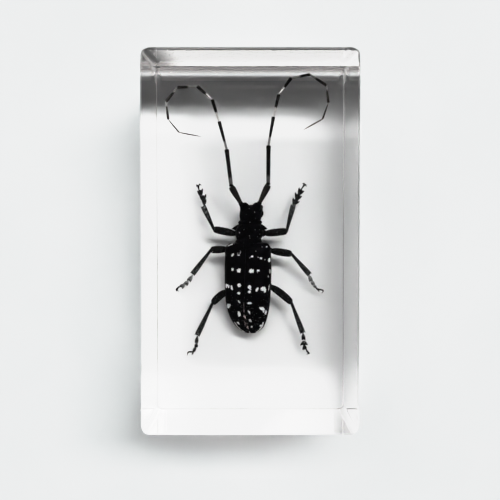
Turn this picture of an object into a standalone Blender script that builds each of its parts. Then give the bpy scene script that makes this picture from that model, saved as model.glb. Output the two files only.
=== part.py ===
"""A longhorn beetle cast in a clear resin block.

The block lies on its smaller face, as it is seen from above with the beetle's head
towards +Y. The origin is at the middle of the block's base, +X is the beetle's right
side and +Z is up. The casting is parted at the beetle's mid-height into two halves,
whose recesses together leave a close pocket for the beetle. The beetle is one solid.

Every size and place below is in millimetres.
"""

import math

import bmesh
import bpy
from mathutils import Matrix, Vector

MM = 0.001

# The resin block. The mould's draft makes the top, its open side, larger than the base.
BLOCK_LENGTH = 73.0
BLOCK_WIDTH = 41.0
BLOCK_HEIGHT = 20.0
WIDEST_Z = 18.5
DRAFT_DEG = 2.0
CORNER_RADIUS = 1.7
CORNER_SEGMENTS = 5
EDGE_RADIUS = 0.5
EDGE_SEGMENTS = 3
# The top is flat up to FALL_Y, and falls away from there to the head end.
FALL_Y = 32.4
FALL_DEG = 8.5
SHARP_ANGLE_DEG = 50.0
PARTING_Z = 6.3
PARTING_GAP = 0.3
POCKET_GAP = 0.53

# The beetle's places and sizes below are multiplied by BEETLE_SCALE about the point over the
# middle of the base at the height of its axis, and then set BEETLE_DROP lower.
BEETLE_SCALE = 1.02
BEETLE_DROP = 4.0

# The beetle's trunk: its long axis, how far it lies rolled over to its left, how far its
# neck and head bend to its right in front of NECK_Y, and how far it sinks behind NECK_Y.
AXIS_X = -0.38
AXIS_Z = 11.0
ROLL_DEG = 10.0
NECK_Y = -1.0
NECK_BEND = 0.075
TAIL_SAG = 0.1

# Trunk sections from the tail forwards: y, half width, height over the axis, depth under it.
ABDOMEN = (
    (-18.1, 0.9, 0.2, 0.7),
    (-17.3, 1.8, 0.5, 1.4),
    (-15.6, 2.8, 0.9, 2.2),
    (-13.0, 3.5, 1.2, 2.7),
    (-8.0, 3.95, 1.2, 3.0),
    (-3.5, 3.9, 1.2, 3.1),
    (-0.8, 3.3, 1.0, 2.9),
    (0.4, 2.2, 0.8, 2.3),
)
PRONOTUM = (
    (-0.9, 2.3, 2.0, 2.1),
    (-0.3, 2.7, 2.35, 2.4),
    (0.5, 2.65, 2.4, 2.45),
    (1.4, 2.8, 2.5, 2.5),
    (2.4, 2.9, 2.5, 2.5),
    (3.3, 2.6, 2.4, 2.4),
    (4.0, 2.3, 2.2, 2.3),
)
HEAD = (
    (3.4, 1.9, 1.7, 1.9),
    (4.2, 2.2, 2.0, 2.6),
    (5.2, 2.35, 2.1, 3.2),
    (6.2, 2.25, 1.9, 3.7),
    (6.9, 1.9, 1.2, 3.7),
    (7.3, 1.3, 0.3, 3.1),
)
# The wing cases: y, width of the left and of the right one out from the axis, height over
# the axis, and each one's distance from the seam.
WING_CASE = (
    (-0.25, 3.2, 3.1, 1.6, 0.04),
    (-0.6, 4.0, 3.9, 2.3, 0.04),
    (-1.4, 4.55, 4.45, 2.7, 0.04),
    (-3.5, 4.75, 4.62, 2.95, 0.04),
    (-8.0, 4.8, 4.64, 3.05, 0.04),
    (-11.0, 4.72, 4.48, 2.9, 0.04),
    (-13.1, 4.48, 4.28, 2.65, 0.05),
    (-14.8, 4.1, 3.88, 2.3, 0.1),
    (-16.3, 3.56, 3.28, 1.8, 0.2),
    (-17.4, 2.85, 2.6, 1.25, 0.26),
    (-18.15, 1.95, 1.85, 0.8, 0.3),
    (-18.65, 1.0, 0.95, 0.35, 0.35),
)
WING_CASE_LOW_DEG = -16.0
WING_CASE_ARC_POINTS = 9
TRUNK_SIDES = 18
# The right-hand one of each pair on the trunk, over the trunk's own axis.
SPINE = ((2.1, 2.6, 0.1), (3.6, 2.45, 0.3))
SPINE_RADII = (0.95, 0.5, 0.08)
EYE = (1.8, 5.45, -0.3)
EYE_RADII = (0.6, 0.95, 1.15)
JAW = ((0.85, 6.5, -3.3), (0.2, 7.0, -4.3))
JAW_RADII = (0.55, 0.45, 0.12)

# Feeler joints from the head outwards; the first joint is the socket on the brow.
FEELER_LEFT = (
    (-1.25, 6.1, 11.4), (-1.9, 7.9, 12.2), (-3.75, 10.8, 12.4), (-4.65, 18.1, 12.8),
    (-6.1, 23.5, 13.0), (-7.45, 27.75, 13.0), (-10.35, 30.35, 12.8), (-14.3, 30.2, 12.5),
    (-16.6, 27.5, 12.2), (-16.2, 24.05, 12.0), (-14.1, 21.55, 11.8), (-9.75, 20.75, 11.6),
)
FEELER_RIGHT = (
    (1.25, 6.1, 11.7), (1.85, 8.1, 12.3), (3.55, 11.1, 12.5), (3.6, 18.85, 12.9),
    (4.55, 24.4, 13.0), (5.6, 28.75, 13.0), (8.0, 31.95, 12.8), (11.7, 32.7, 12.6),
    (15.0, 30.6, 12.4), (15.4, 27.3, 12.2), (14.3, 24.15, 12.0), (10.5, 22.05, 11.8),
)
FEELER_SIDES = 6
SOCKET_RADIUS = 0.62
SCAPE_RADII = (0.3, 0.66)
FEELER_KNOB_RADII = (0.42, 0.1)
FEELER_TAPER = 1.1
FEELER_WAIST = 0.55
# Where a segment's waist, knob and next joint come, as shares of its length.
FEELER_WAIST_AT = 0.08
FEELER_KNOB_AT = 0.9
FEELER_JOINT_AT = 0.99

# Legs from the body outwards: hip, thigh base, knee, shin end, foot bend and foot tip,
# then where the two claws end.
LEGS = {
    "front_left": (
        ((-1.2, 1.9, 9.0), (-2.9, 1.5, 9.4), (-7.3, 2.4, 10.4), (-9.5, 6.9, 8.7),
         (-9.8, 9.1, 8.0), (-10.6, 11.0, 7.6)),
        ((-11.0, 11.5, 7.3), (-10.1, 11.6, 7.3)),
    ),
    "front_right": (
        ((1.2, 1.9, 9.0), (2.9, 1.55, 9.4), (7.3, 2.0, 10.4), (8.6, 7.1, 8.7),
         (9.7, 9.6, 8.0), (10.9, 11.1, 7.6)),
        ((11.0, 11.8, 7.3), (11.7, 11.2, 7.3)),
    ),
    "middle_left": (
        ((-1.6, -1.5, 8.6), (-4.6, -1.6, 9.4), (-7.9, -1.75, 10.2), (-11.8, -6.4, 8.4),
         (-12.8, -8.2, 7.8), (-14.5, -9.5, 7.4)),
        ((-15.3, -10.5, 7.1), (-14.6, -10.6, 7.0)),
    ),
    "middle_right": (
        ((1.4, -1.5, 8.6), (4.2, -1.9, 9.4), (8.3, -2.55, 10.2), (12.0, -6.5, 8.4),
         (12.7, -8.5, 7.8), (13.8, -9.9, 7.4)),
        ((15.1, -10.7, 7.1), (14.3, -11.0, 7.0)),
    ),
    "hind_left": (
        ((-1.8, -8.3, 8.6), (-4.6, -10.1, 9.4), (-7.6, -12.5, 10.2), (-10.8, -18.9, 8.4),
         (-11.1, -21.4, 7.8), (-11.9, -23.0, 7.4)),
        ((-13.2, -23.7, 7.0), (-12.4, -24.0, 7.0)),
    ),
    "hind_right": (
        ((1.6, -7.6, 8.6), (4.0, -9.1, 9.4), (8.3, -12.4, 10.2), (10.7, -18.5, 8.4),
         (11.1, -20.9, 7.8), (11.9, -22.6, 7.4)),
        ((12.3, -23.6, 7.0), (11.5, -23.3, 7.0)),
    ),
}
LEG_SIDES = 8
# Half widths along a stretch of leg: share of the stretch, half width, half height.
THIGH_PROFILE = ((0.0, 0.5, 0.5), (0.3, 0.68, 0.7), (0.65, 0.72, 0.74), (0.93, 0.55, 0.55))
SHIN_PROFILE = ((0.04, 0.32, 0.34), (0.45, 0.36, 0.34), (0.8, 0.48, 0.42), (0.98, 0.52, 0.42))
HIP_SIZE = (0.85, 0.8)
FOOT_LOBES = ((0.02, 0.56), (0.32, 0.56), (0.6, 0.5))
FOOT_LOBE_ENDS = (0.3, 0.56, 0.78)
FOOT_LOBE_STEP = 0.03
FOOT_NECK = 0.16
FOOT_HALF_HEIGHT = 0.2
CLAW_ROOT_AT = 0.8
CLAW_RADII = (0.17, 0.06)

POCKET_LIMB_SIDES = 6
POCKET_TIP_GAPS = 1.5
POCKET_FOOT_HALF_WIDTH = 0.62
POCKET_SHELL_DEPTH = 2.6

RESIN_COLOUR = (0.93, 0.95, 0.95, 1.0)
BEETLE_COLOUR = (0.012, 0.012, 0.014, 1.0)


def clear_scene():
    for obj in list(bpy.data.objects):
        bpy.data.objects.remove(obj)


def add_object(name, mesh, material=None, helper=False):
    """Links a mesh into the scene. A helper is a cutter, which isn't part of the model."""
    obj = bpy.data.objects.new(name, mesh)
    bpy.context.scene.collection.objects.link(obj)
    if material:
        mesh.materials.append(material)
    if helper:
        obj.hide_render = True
        obj.display_type = "WIRE"
    return obj


def make_material(name, colour, roughness, transmission=0.0):
    material = bpy.data.materials.new(name)
    material.use_nodes = True
    shader = material.node_tree.nodes["Principled BSDF"]
    shader.inputs["Base Color"].default_value = colour
    shader.inputs["Roughness"].default_value = roughness
    shader.inputs["Metallic"].default_value = 0.0
    shader.inputs["Transmission Weight"].default_value = transmission
    return material


def finish_mesh(name, built):
    """Turns a built shape into a mesh that is smooth but for its sharp corners."""
    mesh = bpy.data.meshes.new(name)
    built.to_mesh(mesh)
    built.free()
    mesh.shade_smooth()
    mesh.set_sharp_from_angle(angle=math.radians(SHARP_ANGLE_DEG))
    return mesh


def scaled(point):
    """A place on the beetle at its true size and height, in metres."""
    centre = Vector((0.0, 0.0, AXIS_Z))
    drop = Vector((0.0, 0.0, BEETLE_DROP))
    return (centre + (Vector(point) - centre) * BEETLE_SCALE - drop) * MM


def skin_rings(name, rings):
    """A closed mesh over rings of the beetle's points, flat at both ends."""
    built = bmesh.new()
    rows = [[built.verts.new(scaled(p)) for p in ring] for ring in rings]
    built.faces.new(rows[0])
    built.faces.new(reversed(rows[-1]))
    count = len(rows[0])
    for near, far in zip(rows, rows[1:]):
        for i in range(count):
            j = (i + 1) % count
            built.faces.new((near[i], far[i], far[j], near[j]))
    bmesh.ops.recalc_face_normals(built, faces=built.faces)
    return finish_mesh(name, built)


def rolled(x, y, z):
    """A point of the trunk, given over its own axis, as it lies with the beetle rolled."""
    turn = Matrix.Rotation(math.radians(-ROLL_DEG), 3, "Y")
    bend = NECK_BEND * max(y - NECK_Y, 0.0)
    sag = TAIL_SAG * max(NECK_Y - y, 0.0)
    return Vector((AXIS_X + bend, 0.0, AXIS_Z - sag)) + turn @ Vector((x, y, z))


def mirrored_pair(*points):
    """Both copies, left and right, of a row of trunk points."""
    return [[rolled(side * x, y, z) for x, y, z in points] for side in (-1, 1)]


def trunk_mesh(name, sections, grow=0.0, sides=TRUNK_SIDES):
    """A stretch of the trunk, rounder above than below, grown outwards all round."""
    rings = []
    for index, (y, half_width, height, depth) in enumerate(sections):
        end = (index == len(sections) - 1) - (index == 0)
        ring = []
        for i in range(sides):
            angle = math.tau * (i + 0.5) / sides
            reach = height if math.sin(angle) > 0 else depth
            across = (half_width + grow) * math.cos(angle)
            ring.append(rolled(across, y + end * grow, (reach + grow) * math.sin(angle)))
        rings.append(ring)
    return skin_rings(name, rings)


def wing_case_mesh(name, side):
    """One wing case as a solid half dome. side is -1 for the left one and 1 for the right."""
    rings = []
    low = math.radians(WING_CASE_LOW_DEG)
    for y, left_width, right_width, height, seam in WING_CASE:
        width = left_width if side < 0 else right_width
        ring = []
        for i in range(WING_CASE_ARC_POINTS):
            angle = math.pi / 2 + (low - math.pi / 2) * i / (WING_CASE_ARC_POINTS - 1)
            across = seam + (width - seam) * math.cos(angle)
            ring.append(rolled(side * across, y, height * math.sin(angle)))
        bottom = height * math.sin(low)
        ring.append(rolled(side * seam, y, bottom))
        rings.append(ring)
    return skin_rings(name, rings)


def limb_mesh(name, stations, sides):
    """A tube through stations of centre, half width and half height, kept level."""
    rings = []
    for index, (centre, half_width, half_height) in enumerate(stations):
        before = Vector(stations[max(index - 1, 0)][0])
        after = Vector(stations[min(index + 1, len(stations) - 1)][0])
        along = (after - before).normalized()
        across = along.cross(Vector((0, 0, 1))).normalized()
        upward = across.cross(along)
        ring = []
        for i in range(sides):
            angle = math.tau * (i + 0.5) / sides
            ring.append(
                Vector(centre)
                + across * half_width * math.cos(angle)
                + upward * half_height * math.sin(angle)
            )
        rings.append(ring)
    return skin_rings(name, rings)


def between(start, end, share):
    return Vector(start).lerp(Vector(end), share)


def feeler_stations(joints):
    """Scape, then segments that start as a thin waist and swell to a knob at their end."""
    stations = [
        (joints[0], SOCKET_RADIUS, SOCKET_RADIUS),
        (between(joints[0], joints[1], 0.6), SOCKET_RADIUS, SOCKET_RADIUS),
        (joints[1], SCAPE_RADII[0], SCAPE_RADII[0]),
        (between(joints[1], joints[2], 0.75), SCAPE_RADII[1], SCAPE_RADII[1]),
        (joints[2], SCAPE_RADII[0], SCAPE_RADII[0]),
    ]
    last = len(joints) - 1
    thick, thin = FEELER_KNOB_RADII
    for index in range(2, last):
        share = (index - 2) / (last - 2)
        knob = thick + (thin - thick) * share**FEELER_TAPER
        waist = knob * FEELER_WAIST
        start, end = joints[index], joints[index + 1]
        stations.append((between(start, end, FEELER_WAIST_AT), waist, waist))
        stations.append((between(start, end, FEELER_KNOB_AT), knob, knob))
        if index < last - 1:
            stations.append((between(start, end, FEELER_JOINT_AT), waist, waist))
    return stations


def leg_stations(joints):
    """Hip, thigh, shin and a foot of three lobes and a claw joint, as one tube."""
    hip, thigh, knee, shin_end, bend, tip = joints
    stations = [(hip, *HIP_SIZE)]
    stations += [(between(thigh, knee, s), w, h) for s, w, h in THIGH_PROFILE]
    stations += [(between(knee, shin_end, s), w, h) for s, w, h in SHIN_PROFILE]
    for (start, width), end in zip(FOOT_LOBES, FOOT_LOBE_ENDS):
        neck = on_foot(shin_end, bend, tip, start + FOOT_LOBE_STEP)
        stations.append((neck, FOOT_NECK, FOOT_NECK))
        lobe = on_foot(shin_end, bend, tip, end - FOOT_LOBE_STEP)
        stations.append((lobe, width, FOOT_HALF_HEIGHT))
    stations.append((on_foot(shin_end, bend, tip, FOOT_LOBE_ENDS[-1]), FOOT_NECK, FOOT_NECK))
    stations.append((tip, FOOT_NECK, FOOT_NECK))
    return stations


def on_foot(shin_end, bend, tip, share):
    """A point on the foot's two straight stretches, by its share of their length."""
    first = (Vector(bend) - Vector(shin_end)).length
    second = (Vector(tip) - Vector(bend)).length
    walked = share * (first + second)
    if walked <= first:
        return between(shin_end, bend, walked / first)
    return between(bend, tip, (walked - first) / second)


def cone_stations(ends, radii):
    """A tapering limb from ends[0] to ends[1] with evenly spaced radii."""
    steps = len(radii) - 1
    return [(between(*ends, i / steps), r, r) for i, r in enumerate(radii)]


def eye_mesh(name, centre, grow=0.0):
    built = bmesh.new()
    bmesh.ops.create_uvsphere(built, u_segments=10, v_segments=6, radius=1.0)
    size = [(radius + grow) * BEETLE_SCALE * MM for radius in EYE_RADII]
    bmesh.ops.scale(built, vec=size, verts=built.verts)
    bmesh.ops.translate(built, vec=scaled(centre), verts=built.verts)
    return finish_mesh(name, built)


def union(obj, pieces):
    """Joins pieces into obj with an exact Boolean, through a collection of helpers."""
    group = bpy.data.collections.new(obj.name + "_pieces")
    for index, mesh in enumerate(pieces):
        helper = add_object(f"{obj.name}_piece_{index:02d}", mesh, helper=True)
        group.objects.link(helper)
    modifier = obj.modifiers.new("join", "BOOLEAN")
    modifier.operation = "UNION"
    modifier.solver = "EXACT"
    modifier.use_self = True
    modifier.operand_type = "COLLECTION"
    modifier.collection = group


def make_beetle(material):
    beetle = add_object("longhorn_beetle", trunk_mesh("abdomen", ABDOMEN), material)
    pieces = [trunk_mesh("pronotum", PRONOTUM), trunk_mesh("head", HEAD)]
    pieces += [wing_case_mesh("wing_case", side) for side in (-1, 1)]
    for spine in mirrored_pair(*SPINE):
        pieces.append(limb_mesh("spine", cone_stations(spine, SPINE_RADII), LEG_SIDES))
    for (centre,) in mirrored_pair(EYE):
        pieces.append(eye_mesh("eye", centre))
    for jaw in mirrored_pair(*JAW):
        pieces.append(limb_mesh("jaw", cone_stations(jaw, JAW_RADII), FEELER_SIDES))
    for feeler in (FEELER_LEFT, FEELER_RIGHT):
        pieces.append(limb_mesh("feeler", feeler_stations(feeler), FEELER_SIDES))
    for joints, claws in LEGS.values():
        pieces.append(limb_mesh("leg", leg_stations(joints), LEG_SIDES))
        root = between(joints[-2], joints[-1], CLAW_ROOT_AT)
        for claw in claws:
            pieces.append(limb_mesh("claw", cone_stations((root, claw), CLAW_RADII), 4))
    union(beetle, pieces)
    return beetle


def pocket_radius(radius):
    """The corner radius of a pocket tube whose flats clear a limb of this radius."""
    return (radius + POCKET_GAP) / math.cos(math.pi / POCKET_LIMB_SIDES)


def pocket_limb(joints, radii):
    """A plain tube through joints that clears a limb, and runs on past its two ends."""
    points = [Vector(p) for p in joints]
    root, tip = points[0] - points[1], points[-1] - points[-2]
    points[0] += root.normalized() * POCKET_GAP
    points[-1] += tip.normalized() * POCKET_GAP * POCKET_TIP_GAPS
    stations = [(p, pocket_radius(r), pocket_radius(r)) for p, r in zip(points, radii)]
    return limb_mesh("pocket_limb", stations, POCKET_LIMB_SIDES)


def make_pocket():
    """The space that the resin leaves for the beetle, as a helper solid."""
    pocket = add_object(
        "pocket", trunk_mesh("pocket_abdomen", ABDOMEN, POCKET_GAP), helper=True
    )
    shell = [
        (y, max(left, right), height, POCKET_SHELL_DEPTH)
        for y, left, right, height, seam in reversed(WING_CASE)
    ]
    pieces = [
        trunk_mesh("pocket_shell", shell, POCKET_GAP),
        trunk_mesh("pocket_pronotum", PRONOTUM, POCKET_GAP),
        trunk_mesh("pocket_head", HEAD, POCKET_GAP),
    ]
    for (centre,) in mirrored_pair(EYE):
        pieces.append(eye_mesh("pocket_eye", centre, POCKET_GAP))
    for spine in mirrored_pair(*SPINE):
        pieces.append(pocket_limb(spine, (SPINE_RADII[0], SPINE_RADII[2])))
    for jaw in mirrored_pair(*JAW):
        pieces.append(pocket_limb(jaw, (JAW_RADII[0], JAW_RADII[1])))
    for joints in (FEELER_LEFT, FEELER_RIGHT):
        radii = [SOCKET_RADIUS, SCAPE_RADII[1], SCAPE_RADII[1]]
        radii += [FEELER_KNOB_RADII[0]] * (len(joints) - len(radii))
        pieces.append(pocket_limb(joints, radii))
    for joints, claws in LEGS.values():
        thigh = THIGH_PROFILE[2][2]
        shin = SHIN_PROFILE[3][1]
        foot = POCKET_FOOT_HALF_WIDTH
        pieces.append(pocket_limb(joints, (thigh, thigh, thigh, shin, foot, foot)))
        for claw in claws:
            pieces.append(pocket_limb((joints[-1], claw), (foot / 2, CLAW_RADII[0])))
    union(pocket, pieces)
    return pocket


def block_outline():
    """Round the block from where its right side starts to fall: centres and directions."""
    half_x, half_y = BLOCK_WIDTH / 2 - CORNER_RADIUS, BLOCK_LENGTH / 2 - CORNER_RADIUS
    outline = []
    for across, along, turn in ((1, 1, 0), (-1, 1, 90), (-1, -1, 180), (1, -1, 270)):
        if turn in (0, 180):
            outline.append((math.copysign(half_x, 90 - turn), FALL_Y, math.radians(turn)))
        for step in range(CORNER_SEGMENTS + 1):
            angle = math.radians(turn + 90.0 * step / CORNER_SEGMENTS)
            outline.append((across * half_x, along * half_y, angle))
    return outline


def block_ring(z, inset, falls=False):
    """The block's outline at height z, set in by inset."""
    draft = max(WIDEST_Z - z, 0.0) * math.tan(math.radians(DRAFT_DEG))
    reach = CORNER_RADIUS - inset - draft
    ring = []
    for centre_x, centre_y, angle in block_outline():
        x = centre_x + reach * math.cos(angle)
        y = centre_y + reach * math.sin(angle)
        ring.append(Vector((x, y, z - fall(y) if falls else z)))
    return ring


def fall(y):
    """How far the top lies under its full height at y."""
    return max(y - FALL_Y, 0.0) * math.tan(math.radians(FALL_DEG))


def edge_rings(upper):
    """The rings round the block's lower or upper rounded edge, from below upwards."""
    rings = []
    for step in range(EDGE_SEGMENTS + 1):
        turn = 0.5 * math.pi * step / EDGE_SEGMENTS
        near, far = EDGE_RADIUS * (1 - math.sin(turn)), EDGE_RADIUS * (1 - math.cos(turn))
        if upper:
            rings.append(block_ring(BLOCK_HEIGHT - near, far, falls=True))
        else:
            rings.append(block_ring(far, near))
    return rings


def close_top(built, ring):
    """The top as one falling and one flat face, with a crease between them."""
    crease = 2 * (CORNER_SEGMENTS + 1) + 1
    built.faces.new(ring[: crease + 1])
    built.faces.new(ring[crease:] + ring[:1])


def make_block_half(name, rings, upper, material, pocket):
    """One half of the block over rings from below upwards, less the pocket."""
    built = bmesh.new()
    rows = [[built.verts.new(point * MM) for point in ring] for ring in rings]
    count = len(rows[0])
    for low, high in zip(rows, rows[1:]):
        for i in range(count):
            j = (i + 1) % count
            built.faces.new((low[i], low[j], high[j], high[i]))
    built.faces.new(reversed(rows[0]))
    if upper:
        close_top(built, rows[-1])
    else:
        built.faces.new(rows[-1])
    bmesh.ops.recalc_face_normals(built, faces=built.faces)
    half = add_object(name, finish_mesh(name, built), material)
    modifier = half.modifiers.new("pocket", "BOOLEAN")
    modifier.operation = "DIFFERENCE"
    modifier.solver = "EXACT"
    modifier.object = pocket
    modifier.use_self = True
    return half


def main():
    clear_scene()
    resin = make_material("resin", RESIN_COLOUR, 0.02, transmission=1.0)
    shell = make_material("beetle_shell", BEETLE_COLOUR, 0.4)
    make_beetle(shell)
    pocket = make_pocket()
    lower = edge_rings(False) + [block_ring(PARTING_Z - PARTING_GAP / 2, 0.0)]
    upper = [block_ring(z, 0.0) for z in (PARTING_Z + PARTING_GAP / 2, WIDEST_Z)]
    make_block_half("resin_lower", lower, False, resin, pocket)
    make_block_half("resin_upper", upper + edge_rings(True), True, resin, pocket)


main()
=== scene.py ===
"""A longhorn beetle cast in a clear resin block, on a pale table under a soft window light.

Shapes are worked out in millimetres and become metres as each mesh is made. The beetle's
head points towards +Y, and it lies rolled a little to its left. Its shell is made of
separate plates and joints, as on a real beetle.
"""

import math
import random

import bmesh
import bpy
import numpy as np
from mathutils import Matrix, Vector


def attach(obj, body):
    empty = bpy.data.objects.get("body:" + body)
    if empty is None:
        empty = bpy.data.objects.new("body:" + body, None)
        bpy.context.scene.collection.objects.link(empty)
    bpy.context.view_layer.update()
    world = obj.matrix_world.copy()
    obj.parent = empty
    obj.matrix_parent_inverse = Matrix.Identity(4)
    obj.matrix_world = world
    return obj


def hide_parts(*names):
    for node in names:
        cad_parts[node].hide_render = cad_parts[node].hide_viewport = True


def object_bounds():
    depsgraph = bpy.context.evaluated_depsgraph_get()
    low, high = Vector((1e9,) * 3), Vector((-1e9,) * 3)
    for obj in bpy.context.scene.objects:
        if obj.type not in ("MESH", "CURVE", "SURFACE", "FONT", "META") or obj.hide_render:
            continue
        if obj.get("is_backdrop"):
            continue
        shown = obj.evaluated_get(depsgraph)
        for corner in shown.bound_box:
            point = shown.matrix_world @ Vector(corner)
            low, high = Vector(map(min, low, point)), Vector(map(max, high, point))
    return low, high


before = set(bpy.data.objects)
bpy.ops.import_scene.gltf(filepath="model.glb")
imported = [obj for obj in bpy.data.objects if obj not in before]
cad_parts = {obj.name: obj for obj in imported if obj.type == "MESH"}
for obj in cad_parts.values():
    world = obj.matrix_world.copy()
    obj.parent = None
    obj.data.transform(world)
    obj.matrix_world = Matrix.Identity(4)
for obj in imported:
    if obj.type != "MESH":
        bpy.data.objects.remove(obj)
cad_box = [list(corner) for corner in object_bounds()]


# ---- Resin block ---------------------------------------------------------------------
# One clear casting around the beetle, ground and polished by hand: its upright corners are
# round, its other edges only eased, and its top falls away a little at the head end.

MM = 0.001
PER_MM = 1000.0
BLOCK_LENGTH, BLOCK_WIDTH, BLOCK_HEIGHT = 73.0, 41.0, 20.0
WIDEST_Z, DRAFT = 18.5, math.tan(math.radians(2.0))
CORNER_RADIUS, CORNER_STEPS = 1.7, 10
# How far each edge is rounded, above and below, on the sides and on the two ends.
TOP_EDGE = {"side": 0.5, "tail": 0.5, "head": 1.0}
LOW_EDGE = {"side": 0.15, "tail": 0.15, "head": 1.9}
EDGE_STEPS = 6
FALL_START, FALL_SLOPE = 32.4, math.tan(math.radians(8.5))
RESIN_INDEX = 1.53
RESIN_TINT, RESIN_DENSITY = (1.0, 0.85, 0.83, 1.0), 6.0
# Satin is left low on all edges, and further up the head end: how much, then the heights
# and the y over which it sets in. The base itself is polished.
LOW_EDGE_SATIN, LOW_EDGE_FADE = 0.3, (0.9, 0.3)
HEAD_END_SATIN, HEAD_END_FADE, HEAD_END_Y = 0.5, (4.0, 1.0), (33.0, 33.5)
BASE_FADE = (0.0005, 0.01)
FLOAT, COLOUR, VECTOR = "NodeSocketFloat", "NodeSocketColor", "NodeSocketVector"


class Nodes:
    """Short ways to add and link the nodes of one tree."""

    def __init__(self, tree):
        self.tree = tree

    def add(self, kind, **settings):
        node = self.tree.nodes.new(kind)
        for name, value in settings.items():
            setattr(node, name, value)
        return node

    def put(self, value, socket):
        """Links a socket's value, or sets a plain one."""
        if isinstance(value, bpy.types.NodeSocket):
            self.tree.links.new(value, socket)
        else:
            socket.default_value = value

    def feed(self, node, **values):
        """Puts values into a node's inputs by name, with _ for each space."""
        for name, value in values.items():
            self.put(value, node.inputs[name.replace("_", " ")])
        return node

    def math(self, operation, *values):
        node = self.add("ShaderNodeMath", operation=operation)
        for socket, value in zip(node.inputs, values):
            self.put(value, socket)
        return node.outputs[0]

    def product(self, first, *others):
        for other in others:
            first = self.math("MULTIPLY", first, other)
        return first

    def total(self, first, *others):
        for other in others:
            first = self.math("ADD", first, other)
        return first

    def times(self, vector, factors):
        node = self.add("ShaderNodeVectorMath", operation="MULTIPLY")
        self.put(vector, node.inputs[0])
        self.put(factors, node.inputs[1])
        return node.outputs[0]

    def fade(self, value, low, high, to_low=0.0, to_high=1.0):
        """A smooth step of value, from to_low at low to to_high at high."""
        node = self.add("ShaderNodeMapRange", interpolation_type="SMOOTHSTEP")
        self.feed(
            node, Value=value, From_Min=low, From_Max=high, To_Min=to_low, To_Max=to_high
        )
        return node.outputs["Result"]

    def fade_mm(self, value, low, high):
        """A smooth step from 0 to 1 between two places given in millimetres."""
        return self.fade(value, low * MM, high * MM)

    def mix(self, factor, first, second):
        node = self.add("ShaderNodeMix", data_type="RGBA")
        for socket, value in ((0, factor), (6, first), (7, second)):
            self.put(value, node.inputs[socket])
        return node.outputs[2]

    def noise(self, vector, scale, detail=3.0, roughness=0.55):
        node = self.add("ShaderNodeTexNoise")
        self.feed(node, Vector=vector, Scale=scale, Detail=detail, Roughness=roughness)
        return node.outputs["Fac"]

    def cells(self, vector, scale, feature="F1", randomness=1.0):
        node = self.add("ShaderNodeTexVoronoi", feature=feature)
        self.feed(node, Vector=vector, Scale=scale, Randomness=randomness)
        return node.outputs["Distance"]

    def bump(self, height):
        """A normal bent by a height in metres."""
        node = self.add("ShaderNodeBump")
        self.feed(node, Height=height, Distance=1.0)
        return node.outputs["Normal"]

    def split(self, vector):
        node = self.add("ShaderNodeSeparateXYZ")
        self.put(vector, node.inputs[0])
        return node.outputs

    def attribute(self, name):
        return self.add("ShaderNodeAttribute", attribute_name=name).outputs["Fac"]

    def place(self):
        return self.add("ShaderNodeTexCoord").outputs["Object"]

    def group(self, name, **inputs):
        node = self.add("ShaderNodeGroup", node_tree=bpy.data.node_groups[name])
        return self.feed(node, **inputs).outputs


def new_group(name, inputs, outputs, tree_kind="ShaderNodeTree"):
    """A node group, with inputs as (name, type, default) and outputs as (name, type)."""
    tree = bpy.data.node_groups.new(name, tree_kind)
    for label, kind, default in inputs:
        socket = tree.interface.new_socket(name=label, in_out="INPUT", socket_type=kind)
        if default is not None:
            socket.default_value = default
    for label, kind in outputs:
        tree.interface.new_socket(name=label, in_out="OUTPUT", socket_type=kind)
    nodes = Nodes(tree)
    source = nodes.add("NodeGroupInput").outputs
    return nodes, source, nodes.add("NodeGroupOutput").inputs


def new_material(name):
    """A material, the helper for its nodes and its Principled shader."""
    material = bpy.data.materials.new(name)
    material.use_nodes = True
    return material, Nodes(material.node_tree), material.node_tree.nodes["Principled BSDF"]


def turn_outwards(mesh):
    built = bmesh.new()
    built.from_mesh(mesh)
    bmesh.ops.recalc_face_normals(built, faces=built.faces)
    built.to_mesh(mesh)
    built.free()


def new_mesh(name, points, faces):
    """A smooth mesh with its faces turned outwards."""
    mesh = bpy.data.meshes.new(name)
    mesh.from_pydata(points, [], faces)
    turn_outwards(mesh)
    mesh.shade_smooth()
    return mesh


def ring_faces(rows, sides):
    """Faces that join each ring of points to the next."""
    faces = []
    for row in range(rows):
        for i in range(sides):
            j = (i + 1) % sides
            low, high = row * sides, (row + 1) * sides
            faces.append((low + i, low + j, high + j, high + i))
    return faces


def add_object(name, data, material=None):
    obj = bpy.data.objects.new(name, data)
    bpy.context.scene.collection.objects.link(obj)
    if material:
        data.materials.append(material)
    return obj


def block_outline():
    """Round the block from where its right side starts to fall: centres and directions."""
    half_x, half_y = BLOCK_WIDTH / 2 - CORNER_RADIUS, BLOCK_LENGTH / 2 - CORNER_RADIUS
    outline = []
    for across, along, turn in ((1, 1, 0), (-1, 1, 90), (-1, -1, 180), (1, -1, 270)):
        if turn in (0, 180):
            outline.append((math.copysign(half_x, 90 - turn), FALL_START, math.radians(turn)))
        for step in range(CORNER_STEPS + 1):
            angle = math.radians(turn + 90.0 * step / CORNER_STEPS)
            outline.append((across * half_x, along * half_y, angle))
    return outline


def edge_size(edges, angle):
    """How far an edge is rounded in one direction, blended around the corners."""
    end = math.sin(angle)
    share = min(max((abs(end) - 0.5) / 0.4, 0.0), 1.0)
    return edges["side"] + (edges["head" if end > 0 else "tail"] - edges["side"]) * share


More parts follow.
